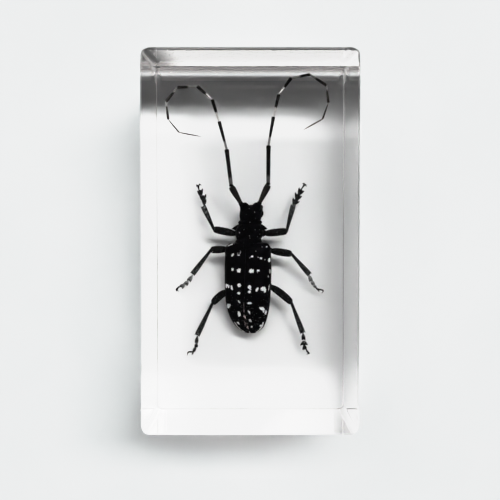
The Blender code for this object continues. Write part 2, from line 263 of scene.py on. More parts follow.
def block_ring(edges, turn, upper):
    """The ring of the block at one step around its lower or its upper rounded edge."""
    ring = []
    for centre_x, centre_y, angle in block_outline():
        size = edge_size(edges, angle)
        if upper:
            inset, z = size * (1 - math.cos(turn)), BLOCK_HEIGHT - size * (1 - math.sin(turn))
        else:
            inset, z = size * (1 - math.sin(turn)), size * (1 - math.cos(turn))
        reach = CORNER_RADIUS - inset - max(WIDEST_Z - z, 0.0) * DRAFT
        y = centre_y + reach * math.sin(angle)
        fall = max(y - FALL_START, 0.0) * FALL_SLOPE if upper else 0.0
        ring.append((centre_x + reach * math.cos(angle), y, z - fall))
    return ring


def block_mesh():
    turns = [0.5 * math.pi * step / EDGE_STEPS for step in range(EDGE_STEPS + 1)]
    rings = [block_ring(LOW_EDGE, turn, False) for turn in turns]
    rings += [block_ring(TOP_EDGE, turn, True) for turn in turns]
    sides, top = len(rings[0]), (len(rings) - 1) * len(rings[0])
    points = [point for ring in rings for point in ring]
    faces = [tuple(reversed(range(sides))), *ring_faces(len(rings) - 1, sides)]
    # The top is one gently sloping and one flat face, with a crease between them that runs
    # on down both sides.
    right, left = 0, 2 * (CORNER_STEPS + 1) + 1
    faces.append(tuple(range(top + right, top + left + 1)))
    faces.append((*range(top + left, top + sides), top + right))
    mesh = new_mesh("resin_block", [Vector(point) * MM for point in points], faces)
    sharp = mesh.attributes.new("sharp_edge", "BOOLEAN", "EDGE")
    for edge in mesh.edges:
        sharp.data[edge.index].value = all(i % sides in (right, left) for i in edge.vertices)
    return mesh


def make_polish_marks():
    """What hand polishing leaves: faint long waves, and hairlines that catch the light."""
    inputs = (("Place", VECTOR, None), ("Waves mm", FLOAT, 0.004), ("Lines mm", FLOAT, 0.0006))
    nodes, source, target = new_group("polish_marks", inputs, (("Normal", VECTOR),))
    waves = nodes.noise(source["Place"], 0.13 * PER_MM, 2.0)
    fine = nodes.noise(nodes.times(source["Place"], (9.0, 0.5, 9.0)), 0.9 * PER_MM, 3.0, 0.7)
    lines = nodes.fade(fine, 0.66, 0.72)
    height = nodes.total(
        nodes.product(waves, nodes.product(source["Waves mm"], MM)),
        nodes.product(lines, nodes.product(source["Lines mm"], MM)),
    )
    nodes.put(nodes.bump(height), target["Normal"])


def make_resin_material():
    material, nodes, shader = new_material("clear_resin")
    place = nodes.place()
    y, z = nodes.split(place)[1:]
    marks = nodes.group("polish_marks", Place=place)
    off_base = nodes.fade_mm(z, *BASE_FADE)
    rubbed = nodes.product(nodes.fade_mm(z, *LOW_EDGE_FADE), off_base)
    dull = nodes.product(
        nodes.fade_mm(z, *HEAD_END_FADE), off_base, nodes.fade_mm(y, *HEAD_END_Y)
    )
    roughness = nodes.total(
        nodes.product(rubbed, LOW_EDGE_SATIN), nodes.product(dull, HEAD_END_SATIN)
    )
    nodes.feed(shader, Base_Color=(1.0, 1.0, 1.0, 1.0), Roughness=roughness, IOR=RESIN_INDEX)
    nodes.feed(shader, Transmission_Weight=1.0, Normal=marks["Normal"])
    tint = nodes.add("ShaderNodeVolumeAbsorption")
    nodes.feed(tint, Color=RESIN_TINT, Density=RESIN_DENSITY)
    output = material.node_tree.nodes["Material Output"]
    nodes.put(tint.outputs[0], output.inputs["Volume"])
    return material


make_polish_marks()
block = add_object("resin_block", block_mesh(), make_resin_material())
even = block.modifiers.new("even_shading", "WEIGHTED_NORMAL")
even.weight = 100
even.keep_sharp = True
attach(block, "root")
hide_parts("resin_lower", "resin_upper")


# ---- Wing cases ----------------------------------------------------------------------
# Two thin, domed, black shells. They meet along the back and gape a little near their
# tips. Short white hairs stand on them in rows of ragged patches.

AXIS_X, AXIS_Z = -0.38, 11.0
# The places and sizes on the beetle are multiplied by this about the height of its axis, and
# then set lower.
BEETLE_SCALE, BEETLE_CENTRE, BEETLE_DROP = 1.02, (0.0, 0.0, AXIS_Z), 4.0
ROLL_DEG = 10.0
NECK_Y, NECK_BEND, TAIL_SAG = -1.0, 0.075, 0.1
# The resin wets the shell all over, so there is little gloss left: the shell's index is
# given against the resin's.
SHELL_INDEX = 1.06
# How much rougher the shell is where down or a hair patch covers it.
DOWN_MATT, HAIR_MATT = 0.3, 0.45
BLACK = (0.0016, 0.0016, 0.0024, 1.0)
# y, width of the left and of the right case, height over the axis, distance from the seam.
WING_CASE = (
    (-0.3, 3.4, 3.3, 1.7, 0.02),
    (-0.5, 4.05, 3.95, 2.2, 0.02),
    (-1.2, 4.6, 4.46, 2.68, 0.02),
    (-3.5, 4.75, 4.6, 2.95, 0.02),
    (-7.0, 4.8, 4.64, 3.05, 0.02),
    (-10.0, 4.78, 4.54, 2.95, 0.02),
    (-12.0, 4.65, 4.42, 2.8, 0.03),
    (-13.8, 4.36, 4.18, 2.55, 0.09),
    (-15.4, 3.95, 3.7, 2.15, 0.22),
    (-16.55, 3.46, 3.18, 1.75, 0.28),
    (-17.5, 2.8, 2.6, 1.25, 0.24),
    (-18.15, 1.95, 1.9, 0.8, 0.12),
    (-18.55, 1.2, 1.25, 0.42, 0.1),
    (-18.65, 0.7, 0.75, 0.25, 0.14),
)
WING_CASE_LOW_DEG = -16.0
WING_CASE_THICK = 0.16
WING_CASE_ROWS, WING_CASE_ARC = 180, 64
RIB_HEIGHT, RIB_TURNS = 0.02, 3.4
LIP_HEIGHT, LIP_WIDTH = 0.07, 0.09
# The shoulder's bump: distance around the back, y, size and rise.
SHOULDER = (4.1, -1.5, 0.95, 0.18)
# y where the cases' middle starts and ends to wander at the tail, and how far it goes.
TAIL_WANDER = (-13.0, -18.0, 0.4)
# y and how far the seam alone wanders off the middle there.
SEAM_DRIFT = (
    (-3.0, 0.0), (-9.0, -0.27), (-14.5, -0.52), (-15.8, -0.58), (-16.6, -0.56), (-17.6, -0.3),
    (-18.4, -0.05), (-18.65, 0.0),
)
# The pale rim at the tail: half its width, its turn on each side and the y that it spans.
TAIL_RIM, TAIL_RIM_DEG, TAIL_RIM_ROWS = 0.12, {-1: 41.0, 1: 26.0}, (-18.5, -16.2)
TAIL_RIM_COVER, DUST_COVER = 0.8, 0.2
# Stands for a place with no hair anywhere near.
NO_HAIR = 9.0
# How square a patch is: 2 is an oval, and more is squarer.
PATCH_SQUARENESS = 2.6
# Hair patches: side, distance from the middle around the back, y, half size across, half
# size along, turn in degrees and how dense the hairs are.
PATCHES = (
    (-1, 4.5, -0.6, 0.22, 0.12, 0, 0.7), (-1, 3.5, -0.7, 0.55, 0.1, 18, 0.9),
    (1, 3.15, -1.1, 0.08, 0.08, 0, 0.6), (1, 4.1, -1.1, 0.18, 0.1, 35, 0.9),
    (-1, 2.8, -2.7, 0.34, 0.19, 45, 1.0), (-1, 1.65, -2.45, 0.08, 0.24, 10, 0.9),
    (-1, 1.4, -2.72, 0.24, 0.08, 0, 0.9), (-1, 1.12, -2.4, 0.07, 0.24, -12, 0.7),
    (1, 0.75, -3.3, 0.1, 0.09, 0, 0.8), (1, 1.25, -3.0, 0.28, 0.17, 8, 1.0),
    (1, 2.02, -1.95, 0.09, 0.09, 0, 0.8), (1, 2.4, -3.15, 0.09, 0.08, 0, 0.6),
    (1, 3.0, -3.4, 0.23, 0.19, 0, 1.0), (1, 3.85, -3.6, 0.1, 0.1, 0, 0.7),
    (1, 5.1, -3.75, 0.44, 0.38, 20, 1.0),
    (-1, 2.78, -5.6, 0.29, 0.24, 0, 1.0), (-1, 1.38, -5.8, 0.44, 0.38, 8, 1.0),
    (1, 1.14, -5.85, 0.48, 0.37, 0, 1.0), (1, 2.5, -5.8, 0.31, 0.18, 6, 1.0),
    (1, 2.27, -6.2, 0.1, 0.13, 0, 0.6), (1, 5.4, -6.0, 0.3, 0.42, 0, 0.5),
    (1, 4.8, -7.0, 0.15, 0.15, 0, 0.4),
    (-1, 4.7, -9.0, 0.3, 0.42, 14, 1.0), (-1, 4.2, -8.8, 0.48, 0.2, -8, 1.0),
    (-1, 3.83, -9.1, 0.2, 0.36, 8, 1.0), (-1, 3.0, -9.3, 0.25, 0.44, 18, 1.0),
    (-1, 1.32, -8.7, 0.38, 0.38, 30, 1.0), (1, 0.75, -9.05, 0.33, 0.33, 0, 1.0),
    (1, 0.72, -10.0, 0.27, 0.27, 0, 1.0), (1, 0.92, -9.5, 0.17, 0.2, 0, 0.9),
    (1, 2.25, -9.5, 0.25, 0.4, -35, 1.0), (1, 3.5, -9.45, 0.54, 0.38, 15, 1.0),
    (1, 3.9, -9.8, 0.28, 0.36, 0, 1.0), (1, 5.0, -9.4, 0.1, 0.5, -8, 0.7),
    (-1, 1.45, -10.3, 0.3, 0.25, 0, 1.0), (-1, 1.32, -12.05, 0.38, 0.14, -38, 0.95),
    (1, 0.66, -12.3, 0.36, 0.2, 5, 1.0), (-1, 4.1, -13.05, 0.5, 0.44, 15, 1.0),
    (-1, 3.6, -12.8, 0.15, 0.3, 0, 0.9), (-1, 1.42, -14.55, 0.33, 0.46, 0, 0.95),
    (1, 0.44, -14.1, 0.17, 0.34, 0, 0.9), (1, 3.2, -13.45, 0.54, 0.31, -12, 1.0),
    (1, 3.45, -13.95, 0.26, 0.28, 0, 0.8), (1, 3.75, -14.35, 0.09, 0.42, -25, 0.9),
    (1, 4.1, -14.2, 0.09, 0.44, -25, 0.9), (-1, 1.82, -16.45, 0.4, 0.17, -45, 0.9),
    (1, 0.22, -15.85, 0.22, 0.32, 20, 0.7), (-1, 2.76, -16.45, 0.13, 0.14, 0, 0.6),
    (1, 2.18, -17.0, 0.25, 0.22, 20, 1.0), (1, 0.32, -17.15, 0.19, 0.18, 0, 0.9),
)


def smooth_through(rows, count):
    """A smooth run through rows of numbers, cut at count even steps."""
    rows = np.array(rows, float)
    gaps = np.linalg.norm(np.diff(rows, axis=0), axis=1)
    knots = np.concatenate([[0.0], np.cumsum(gaps)])
    slopes = np.gradient(rows, knots, axis=0)
    at = np.linspace(0.0, knots[-1], count)
    span = np.clip(np.searchsorted(knots, at, side="right") - 1, 0, len(gaps) - 1)
    gap = gaps[span][:, None]
    t = ((at - knots[span]) / gaps[span])[:, None]
    return (
        (2 * t**3 - 3 * t**2 + 1) * rows[span]
        + (t**3 - 2 * t**2 + t) * gap * slopes[span]
        + (3 * t**2 - 2 * t**3) * rows[span + 1]
        + (t**3 - t**2) * gap * slopes[span + 1]
    )


def skin(rings, facts=None):
    """A closed tube over rings of points, each end drawn to a middle point.

    facts holds named numbers for the ring points, which become mesh attributes.
    """
    rings = np.array(rings, float)
    count, sides, _ = rings.shape
    points = np.concatenate([rings.reshape(-1, 3), rings[:1].mean(1), rings[-1:].mean(1)])
    faces = ring_faces(count - 1, sides)
    first, last, far = count * sides, count * sides + 1, (count - 1) * sides
    for i in range(sides):
        j = (i + 1) % sides
        faces += [(first, j, i), (last, far + i, far + j)]
    values = {}
    for name, value in (facts or {}).items():
        flat = np.broadcast_to(np.array(value, float), (count, sides)).reshape(-1)
        values[name] = np.concatenate([flat, [flat[0], flat[-1]]])
    return points, faces, values


def joined(parts):
    """Closed parts as one list of points, of faces and of named numbers."""
    points = np.concatenate([part[0] for part in parts])
    faces, start = [], 0
    for part in parts:
        faces += [tuple(start + i for i in face) for face in part[1]]
        start += len(part[0])
    names = sorted({name for part in parts for name in part[2]})
    facts = {
        name: np.concatenate([part[2].get(name, np.zeros(len(part[0]))) for part in parts])
        for name in names
    }
    return points, faces, facts


def beetle_piece(name, parts, material):
    """A piece of the beetle from closed parts, which stands for part of its solid."""
    points, faces, facts = joined(parts)
    centre = np.array(BEETLE_CENTRE)
    points = (centre + (points - centre) * BEETLE_SCALE - (0.0, 0.0, BEETLE_DROP)) * MM
    mesh = new_mesh(name, points.tolist(), faces)
    for fact, values in facts.items():
        attribute = mesh.attributes.new(fact, "FLOAT", "POINT")
        attribute.data.foreach_set("value", values.astype(np.float32))
    return dress_beetle(add_object(name, mesh, material))


def dress_beetle(obj):
    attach(obj, "root")
    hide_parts("longhorn_beetle")
    return obj


def rolled(points):
    """Points over the trunk's own axis, placed as the beetle lies, rolled, bent and sunk."""
    turn = np.array(Matrix.Rotation(math.radians(-ROLL_DEG), 3, "Y"))
    placed = np.array(points, float) @ turn.T
    placed[..., 0] += AXIS_X + NECK_BEND * np.maximum(placed[..., 1] - NECK_Y, 0.0)
    placed[..., 2] += AXIS_Z - TAIL_SAG * np.maximum(NECK_Y - placed[..., 1], 0.0)
    return placed


def tail_middle(y):
    """How far the cases' middle wanders to the right towards the tips."""
    start, end, shift = TAIL_WANDER
    share = np.clip((start - y) / (start - end), 0.0, 1.0)
    return shift * share * share * (3 - 2 * share)


def seam_drift(y):
    """How far the seam lies off the cases' middle."""
    at, drift = np.array(SEAM_DRIFT).T
    return np.interp(-y, -at, drift)


def patch_distance(side, around, y):
    """How far each point lies outside the nearest hair patch, and how dense that one is."""
    nearest, cover = np.full(around.shape, NO_HAIR), np.zeros(around.shape)
    power = PATCH_SQUARENESS
    for patch_side, s, along, half_s, half_y, turn, dense in PATCHES:
        if patch_side != side:
            continue
        c, d = math.cos(math.radians(turn)), math.sin(math.radians(turn))
        u, v = (around - s) * side, y - along
        across, lengthwise = (u * c + v * d) / half_s, (v * c - u * d) / half_y
        reach = (np.abs(across) ** power + np.abs(lengthwise) ** power) ** (1 / power)
        distance = (reach - 1.0) * min(half_s, half_y)
        cover = np.where(distance < nearest, dense, cover)
        nearest = np.minimum(distance, nearest)
    return nearest, cover


def wing_case(side):
    """One wing case: rings that run out over the shell and back along its inner face."""
    y, left, right, height, seam = smooth_through(WING_CASE, WING_CASE_ROWS).T[:, :, None]
    half = left if side < 0 else right
    angle = np.radians(np.linspace(90.0, WING_CASE_LOW_DEG, WING_CASE_ARC))[None, :]
    thick = np.minimum(WING_CASE_THICK, 0.45 * height)
    across = seam + (half - seam) * np.cos(angle)
    up = height * np.sin(angle)
    steps = np.hypot(np.diff(across, axis=1), np.diff(up, axis=1))
    around = np.concatenate([np.zeros_like(y), np.cumsum(steps, axis=1)], axis=1)
    bump_s, bump_y, bump_size, bump_rise = SHOULDER
    off_bump = ((around - bump_s) / bump_size) ** 2 + ((y - bump_y) / bump_size) ** 2
    shoulder = bump_rise * np.exp(-off_bump)
    ribs = RIB_HEIGHT * np.sin(around * RIB_TURNS)
    ribs = ribs * np.clip((-y - 2) / 3, 0, 1) * np.clip((17 + y) / 3, 0, 1)
    off_lip = (angle - math.radians(WING_CASE_LOW_DEG)) / LIP_WIDTH
    lip = LIP_HEIGHT * np.exp(-(off_lip**2))
    swell = (shoulder + ribs + lip) * np.clip(height / 2.0, 0, 1)
    flat_y = np.broadcast_to(y, across.shape)
    outer = [side * (across + swell * np.cos(angle)), flat_y, up + swell * np.sin(angle)]
    inner = [
        side * (seam + (half - thick - seam) * np.cos(angle)), flat_y,
        (height - thick) * np.sin(angle),
    ]
    rings = np.concatenate(
        [np.stack(outer, axis=-1), np.stack(inner, axis=-1)[:, ::-1]], axis=1
    )
    drift = seam_drift(y) * (1 - np.cos(angle))
    rings[..., 0] += tail_middle(y) + np.concatenate([drift, drift[:, ::-1]], axis=1)
    edge, cover = patch_distance(side, around + side * drift, flat_y)
    rim = np.abs(angle - math.radians(TAIL_RIM_DEG[side])) * height - TAIL_RIM
    rim = np.where((y > TAIL_RIM_ROWS[0]) & (y < TAIL_RIM_ROWS[1]), rim, NO_HAIR)
    cover = np.where(rim < edge, TAIL_RIM_COVER, cover)
    bare = np.zeros_like(around)
    facts = {
        "patch": np.concatenate([np.minimum(edge, rim), bare + NO_HAIR], axis=1),
        "patch_cover": np.concatenate([cover, bare], axis=1),
        "pimples": np.concatenate([bare + np.clip((y + 4.2) / 3.0, 0, 1), bare], axis=1),
        "dusty": np.concatenate([bare + np.clip((-y - 8.0) / 7.0, 0, 1), bare], axis=1),
    }
    return skin(rolled(rings), facts)


def make_shell_grain():
    """Fine pits and pimples of a beetle's shell, with slight changes of gloss."""
    inputs = (
        ("Place", VECTOR, None),
        ("Pit Size mm", FLOAT, 0.12),
        ("Pit Depth mm", FLOAT, 0.012),
        ("Pimples", FLOAT, 0.0),
        ("Gloss", FLOAT, 0.35),
    )
    outputs = (("Normal", VECTOR), ("Roughness", FLOAT), ("Pits", FLOAT))
    nodes, source, target = new_group("shell_grain", inputs, outputs)
    scale = nodes.math("DIVIDE", PER_MM, source["Pit Size mm"])
    pits = nodes.fade(nodes.cells(source["Place"], scale), 0.1, 0.42)
    wide = nodes.cells(source["Place"], nodes.product(scale, 0.42))
    pimples = nodes.product(nodes.fade(wide, 0.42, 0.12), source["Pimples"])
    waves = nodes.noise(source["Place"], 1.1 * PER_MM, 4.0)
    height = nodes.total(pits, nodes.product(pimples, 4.0), nodes.product(waves, 2.0))
    depth = nodes.product(source["Pit Depth mm"], MM)
    nodes.put(nodes.bump(nodes.product(height, depth)), target["Normal"])
    uneven = nodes.fade(waves, 0.3, 0.7, -0.06, 0.08)
    nodes.put(nodes.total(source["Gloss"], uneven), target["Roughness"])
    nodes.put(pits, target["Pits"])


def make_hair_patch():
    """A mat of short white hairs with a torn rim. Edge is the distance out from it."""
    inputs = (
        ("Place", VECTOR, None),
        ("Edge mm", FLOAT, 1.0),
        ("Torn mm", FLOAT, 0.13),
        ("Dust", FLOAT, 0.0),
        ("Light", COLOUR, (0.95, 1.0, 1.0, 1.0)),
        ("Dark", COLOUR, (0.87, 0.92, 0.92, 1.0)),
    )
    outputs = (("Mask", FLOAT), ("Dust", FLOAT), ("Colour", COLOUR))
    nodes, source, target = new_group("hair_patch", inputs, outputs)
    torn = nodes.math("SUBTRACT", nodes.noise(source["Place"], 2.9 * PER_MM, 4.0, 0.68), 0.5)
    torn = nodes.product(torn, nodes.product(source["Torn mm"], 7.0))
    whole = nodes.fade(nodes.total(source["Edge mm"], torn), 0.04, -0.03)
    worn = nodes.fade(nodes.noise(source["Place"], 5.5 * PER_MM, 3.0, 0.7), 0.33, 0.4)
    nodes.put(nodes.product(whole, worn), target["Mask"])
    grains = nodes.fade(nodes.cells(source["Place"], 2.1 * PER_MM), 0.2, 0.1)
    nodes.put(nodes.product(grains, source["Dust"]), target["Dust"])
    strands = nodes.cells(nodes.times(source["Place"], (1.0, 0.35, 1.0)), 16.0 * PER_MM)
    shade = nodes.fade(strands, 0.2, 0.7)
    nodes.put(nodes.mix(shade, source["Light"], source["Dark"]), target["Colour"])


def make_bloom():
    """A thin film of pale hairs over dark shell, thicker where Amount is higher."""
    inputs = (
        ("Place", VECTOR, None),
        ("Amount", FLOAT, 0.3),
        ("Shell", COLOUR, (0.012, 0.012, 0.013, 1.0)),
        ("Hair", COLOUR, (0.3, 0.32, 0.32, 1.0)),
    )
    nodes, source, target = new_group("bloom", inputs, (("Colour", COLOUR), ("Cover", FLOAT)))
    patchy = nodes.product(nodes.noise(source["Place"], 3.0 * PER_MM, 4.0, 0.7), 0.7)
    strands = nodes.product(nodes.noise(source["Place"], 14.0 * PER_MM, 2.0, 0.8), 0.3)
    cover = nodes.fade(nodes.total(patchy, strands, source["Amount"]), 0.68, 1.02)
    nodes.put(nodes.mix(cover, source["Shell"], source["Hair"]), target["Colour"])
    nodes.put(cover, target["Cover"])


def shell_material(name, black, pit_size, pit_depth, gloss, bloom=None, hair=None, torn=0.08):
    """Dark beetle shell. bloom and hair name the attributes that hold each, or are None."""
    material, nodes, shader = new_material(name)
    place = nodes.place()
    grain = nodes.group(
        "shell_grain", Place=place, Pit_Size_mm=pit_size, Pit_Depth_mm=pit_depth,
        Pimples=nodes.attribute("pimples"), Gloss=gloss,
    )
    lighter = tuple(1.7 * channel for channel in black[:3]) + (1.0,)
    colour, roughness = nodes.mix(grain["Pits"], black, lighter), grain["Roughness"]
    if bloom:
        film = nodes.group("bloom", Place=place, Amount=nodes.attribute(bloom), Shell=colour)
        colour = film["Colour"]
        roughness = nodes.total(roughness, nodes.product(film["Cover"], DOWN_MATT))
    if hair:
        edge = nodes.attribute(hair)
        dust = nodes.product(nodes.attribute("dusty"), DUST_COVER)
        mat = nodes.group("hair_patch", Place=place, Edge_mm=edge, Torn_mm=torn, Dust=dust)
        cover = nodes.product(mat["Mask"], nodes.attribute(hair + "_cover"))
        cover = nodes.math("MAXIMUM", cover, mat["Dust"])
        colour = nodes.mix(cover, colour, mat["Colour"])
        roughness = nodes.total(roughness, nodes.product(cover, HAIR_MATT))
    nodes.feed(shader, Base_Color=colour, Roughness=roughness, Normal=grain["Normal"])
    nodes.feed(shader, IOR=SHELL_INDEX)
    return material


make_shell_grain()
make_hair_patch()
make_bloom()
wing_case_shell = shell_material("wing_case_shell", BLACK, 0.16, 0.008, 0.36, hair="patch")
for side, label in ((-1, "left"), (1, "right")):
    beetle_piece(f"wing_case_{label}", [wing_case(side)], wing_case_shell)


# ---- Scutellum -----------------------------------------------------------------------
# The small blunt plate of black shell that locks the wing cases' bases together. It is
# grown in one with the chest and lies level with the cases.

SCUTELLUM = ((-0.1, 0.75, 2.3), (-0.6, 0.72, 2.55), (-1.1, 0.5, 2.76), (-1.5, 0.16, 2.85))


def scutellum_rings():
    y, half, top = smooth_through(SCUTELLUM, 26).T[:, :, None]
    angle = (math.tau * np.arange(28) / 28)[None, :]
    x = half * np.cos(angle)
    z = top - 0.25 + 0.33 * np.sin(angle) * np.clip(half / 0.5, 0, 1)
    return np.stack([x, np.broadcast_to(y, x.shape), z], axis=-1)


NO_DOTS = {"dots": NO_HAIR, "dots_cover": 0.0}
neck_shell = shell_material("neck_shell", BLACK, 0.13, 0.014, 0.42, hair="dots", torn=0.03)
beetle_piece("scutellum", [skin(rolled(scutellum_rings()), NO_DOTS)], neck_shell)


# ---- Belly and chest -----------------------------------------------------------------
# The trunk under the wing cases: plates of dark shell with a groove between each two,
# and a thin down of grey hair.

LEG_BLACK = (0.0055, 0.0055, 0.0058, 1.0)
BODY = (
    (-18.3, 0.8, 0.1, 0.5),
    (-17.8, 1.7, 0.35, 0.9),
    (-16.8, 2.7, 0.8, 1.6),
    (-15.0, 3.4, 1.1, 2.4),
    (-12.5, 3.8, 1.2, 2.8),
    (-8.0, 3.95, 1.2, 3.0),
    (-3.5, 3.95, 1.2, 3.15),
    (-0.8, 3.4, 1.1, 2.9),
    (0.4, 2.3, 0.9, 2.3),
)
BELLY_GROOVES = (-16.2, -14.4, -12.4, -10.2, -7.6, -2.6)
GROOVE_WIDTH, GROOVE_DEPTH = 0.13, 0.14


def trunk_rings(table, rows, sides, shape=None):
    """Rings of a stretch of trunk, with their y and angle. shape swells the radius."""
    y, half, height, depth = smooth_through(table, rows).T[:, :, None]
    angle = (math.tau * (np.arange(sides) + 0.5) / sides)[None, :]
    swell = shape(y, angle) if shape else 0.0
    x = (half + swell) * np.cos(angle)
    z = (np.where(np.sin(angle) > 0, height, depth) + swell) * np.sin(angle)
    return np.stack([x, np.broadcast_to(y, x.shape), z], axis=-1), y, angle


def belly_shape(y, angle):
    grooves = sum(np.exp(-(((y - at) / GROOVE_WIDTH) ** 2)) for at in BELLY_GROOVES)
    return -GROOVE_DEPTH * grooves * np.clip(-np.sin(angle) * 2.0 + 0.2, 0, 1)


belly_shell = shell_material("belly_shell", LEG_BLACK, 0.11, 0.009, 0.45, bloom="bloom")
body_rings, _, body_angle = trunk_rings(BODY, 190, 80, belly_shape)
down = 0.24 + 0.12 * np.cos(body_angle * 2)
beetle_piece("belly_and_chest", [skin(rolled(body_rings), {"bloom": down})], belly_shell)


# ---- Folded hind wings ---------------------------------------------------------------
# Thin brown skin with paler veins, hinged to the chest and pleated flat under the wing
# cases. It shows only where those gape.

# y, half width and half thickness.
HIND_WINGS = (
    (-17.7, 0.35, 0.1), (-17.0, 0.75, 0.2), (-15.4, 0.85, 0.3), (-13.8, 0.7, 0.25),
    (-12.2, 0.3, 0.1),
)
HIND_WING_DEPTH, VEIN_RISE = 0.35, 0.02


def hind_wing_rings():
    """A low pleated ridge, its top just under the edges of the wing cases."""
    y, half, thick = smooth_through(HIND_WINGS, 60).T[:, :, None]
    angle = (math.tau * np.arange(48) / 48)[None, :]
    roof = np.interp(-y, *np.array([(-row[0], row[3]) for row in WING_CASE]).T)
    pleats = 0.05 * np.cos(angle * 9 + y * 2.0)
    x = (half + pleats) * np.cos(angle) + tail_middle(y) + seam_drift(y)
    z = roof - HIND_WING_DEPTH + (thick + pleats) * np.sin(angle)
    return np.stack([x, np.broadcast_to(y, x.shape), z], axis=-1)


def make_wing_skin():
    material, nodes, shader = new_material("hind_wing_skin")
    along = nodes.times(nodes.place(), (1.0, 0.12, 1.0))
    veins = nodes.fade(nodes.noise(along, 4.0 * PER_MM, 3.0, 0.6), 0.5, 0.6)
    colour = nodes.mix(veins, (0.012, 0.008, 0.009, 1.0), (0.8, 0.7, 0.7, 1.0))
    skin_bump = nodes.bump(nodes.product(veins, VEIN_RISE * MM))
    nodes.feed(shader, Base_Color=colour, Roughness=0.4, IOR=SHELL_INDEX, Normal=skin_bump)
    return material


beetle_piece("folded_hind_wings", [skin(rolled(hind_wing_rings()))], make_wing_skin())


# ---- Neck shield ---------------------------------------------------------------------
# The ring of shell behind the head: a rolled rim at each end, knobs on its back and a
# sharp spine at each side. A few stray tufts of white hair dot it.

NECK = (
    (-0.75, 2.35, 2.05, 2.1),
    (-0.45, 2.62, 2.3, 2.35),
    (-0.05, 2.66, 2.36, 2.4),
    (0.3, 2.5, 2.26, 2.36),
    (1.1, 2.72, 2.45, 2.48),
    (2.3, 2.74, 2.52, 2.5),
    (3.2, 2.4, 2.36, 2.4),
    (3.45, 2.25, 2.2, 2.3),
    (3.7, 2.4, 2.24, 2.3),
    (4.0, 2.3, 2.1, 2.2),
    (4.2, 2.0, 1.9, 2.05),
)
NECK_SPINE = ((1.9, 2.65, 0.0), (2.65, 2.62, 0.12), (3.15, 2.55, 0.25), (3.62, 2.45, 0.34))
NECK_SPINE_SIZES = (0.95, 0.6, 0.3, 0.04)
# Knobs: x and y over the trunk's axis and rise, all of one width and length.
NECK_KNOBS = (
    (-1.05, 2.4, 0.2), (1.05, 2.4, 0.2), (0.0, 1.1, 0.16), (-1.3, 1.0, 0.1), (1.3, 1.0, 0.1),
)
KNOB_WIDTH, KNOB_LENGTH = 0.6, 0.5
# Tufts: x and y over the trunk's axis, half size and density.
NECK_DOTS = (
    (-1.62, 1.7, 0.09, 0.95), (-0.68, 2.25, 0.045, 0.5), (1.5, 2.25, 0.05, 0.5),
    (0.53, 1.05, 0.055, 0.6), (0.6, 0.62, 0.04, 0.4), (-0.65, -0.2, 0.07, 0.15),
    (2.35, 1.4, 0.07, 0.15), (2.3, 2.3, 0.06, 0.2), (-1.75, 0.9, 0.06, 0.15),
    (-2.25, 2.7, 0.06, 0.15), (2.0, 0.9, 0.05, 0.15), (0.36, 3.75, 0.07, 0.4),
)


def dot_distance(dots, points):
    """How far points lie outside the nearest tuft on the back, and its density."""
    x, y, z = points[..., 0], points[..., 1], points[..., 2]
    nearest, cover = np.full(x.shape, NO_HAIR), np.zeros(x.shape)
    for at_x, at_y, size, dense in dots:
        distance = np.where(z > 0, np.hypot(x - at_x, y - at_y) - size, NO_HAIR)
        cover = np.where(distance < nearest, dense, cover)
        nearest = np.minimum(distance, nearest)
    return {"dots": nearest, "dots_cover": cover}


def bent_tube(points, sizes, rows, sides, flat=1.0):
    """Rings along a smooth curve, their sections squeezed upwards by flat."""
    table = [(*point, size) for point, size in zip(points, sizes)]
    run = smooth_through(table, rows)
    along = np.gradient(run[:, :3], axis=0)
    along /= np.linalg.norm(along, axis=1)[:, None]
    across = np.cross(along, (0.0, 0.0, 1.0))
    across /= np.linalg.norm(across, axis=1)[:, None]
    upward = np.cross(across, along)
    angle = (math.tau * np.arange(sides) / sides)[None, :, None]
    radius = run[:, 3][:, None, None]
    return (
        run[:, None, :3]
        + across[:, None] * radius * np.cos(angle)
        + upward[:, None] * radius * flat * np.sin(angle)
    )


def neck_shape(y, angle):
    x = 2.6 * np.cos(angle)
    knobs = sum(
        rise * np.exp(-(((x - at_x) / KNOB_WIDTH) ** 2) - ((y - at_y) / KNOB_LENGTH) ** 2)
        for at_x, at_y, rise in NECK_KNOBS
    )
    wrinkles = 0.025 * np.sin(y * 9.0 + 1.5 * np.sin(x * 1.7))
    wrinkles = wrinkles + 0.02 * np.sin(angle * 11 + y * 5)
    return np.where(np.sin(angle) > 0, knobs, 0.0) + wrinkles


neck_rings = trunk_rings(NECK, 120, 120, neck_shape)[0]
neck_parts = [skin(rolled(neck_rings), dot_distance(NECK_DOTS, neck_rings))]
for side in (-1, 1):
    spine = [(side * x, y, z) for x, y, z in NECK_SPINE]
    rings = bent_tube(spine, NECK_SPINE_SIZES, 24, 24)
    neck_parts.append(skin(rolled(rings), NO_DOTS))
beetle_piece("neck_shield", neck_parts, neck_shell)


# ---- Head ----------------------------------------------------------------------------
# A deep, upright face in one shell, with a raised socket for each feeler and a notch
# between the two.

HEAD = (
    (3.3, 1.7, 1.5, 1.8),
    (4.0, 2.0, 1.85, 2.5),
    (5.0, 2.2, 2.0, 3.2),
    (6.0, 2.24, 1.85, 3.7),
    (6.7, 2.14, 1.4, 3.75),
    (7.1, 1.85, 0.8, 3.4),
    (7.3, 1.25, 0.0, 2.6),
)
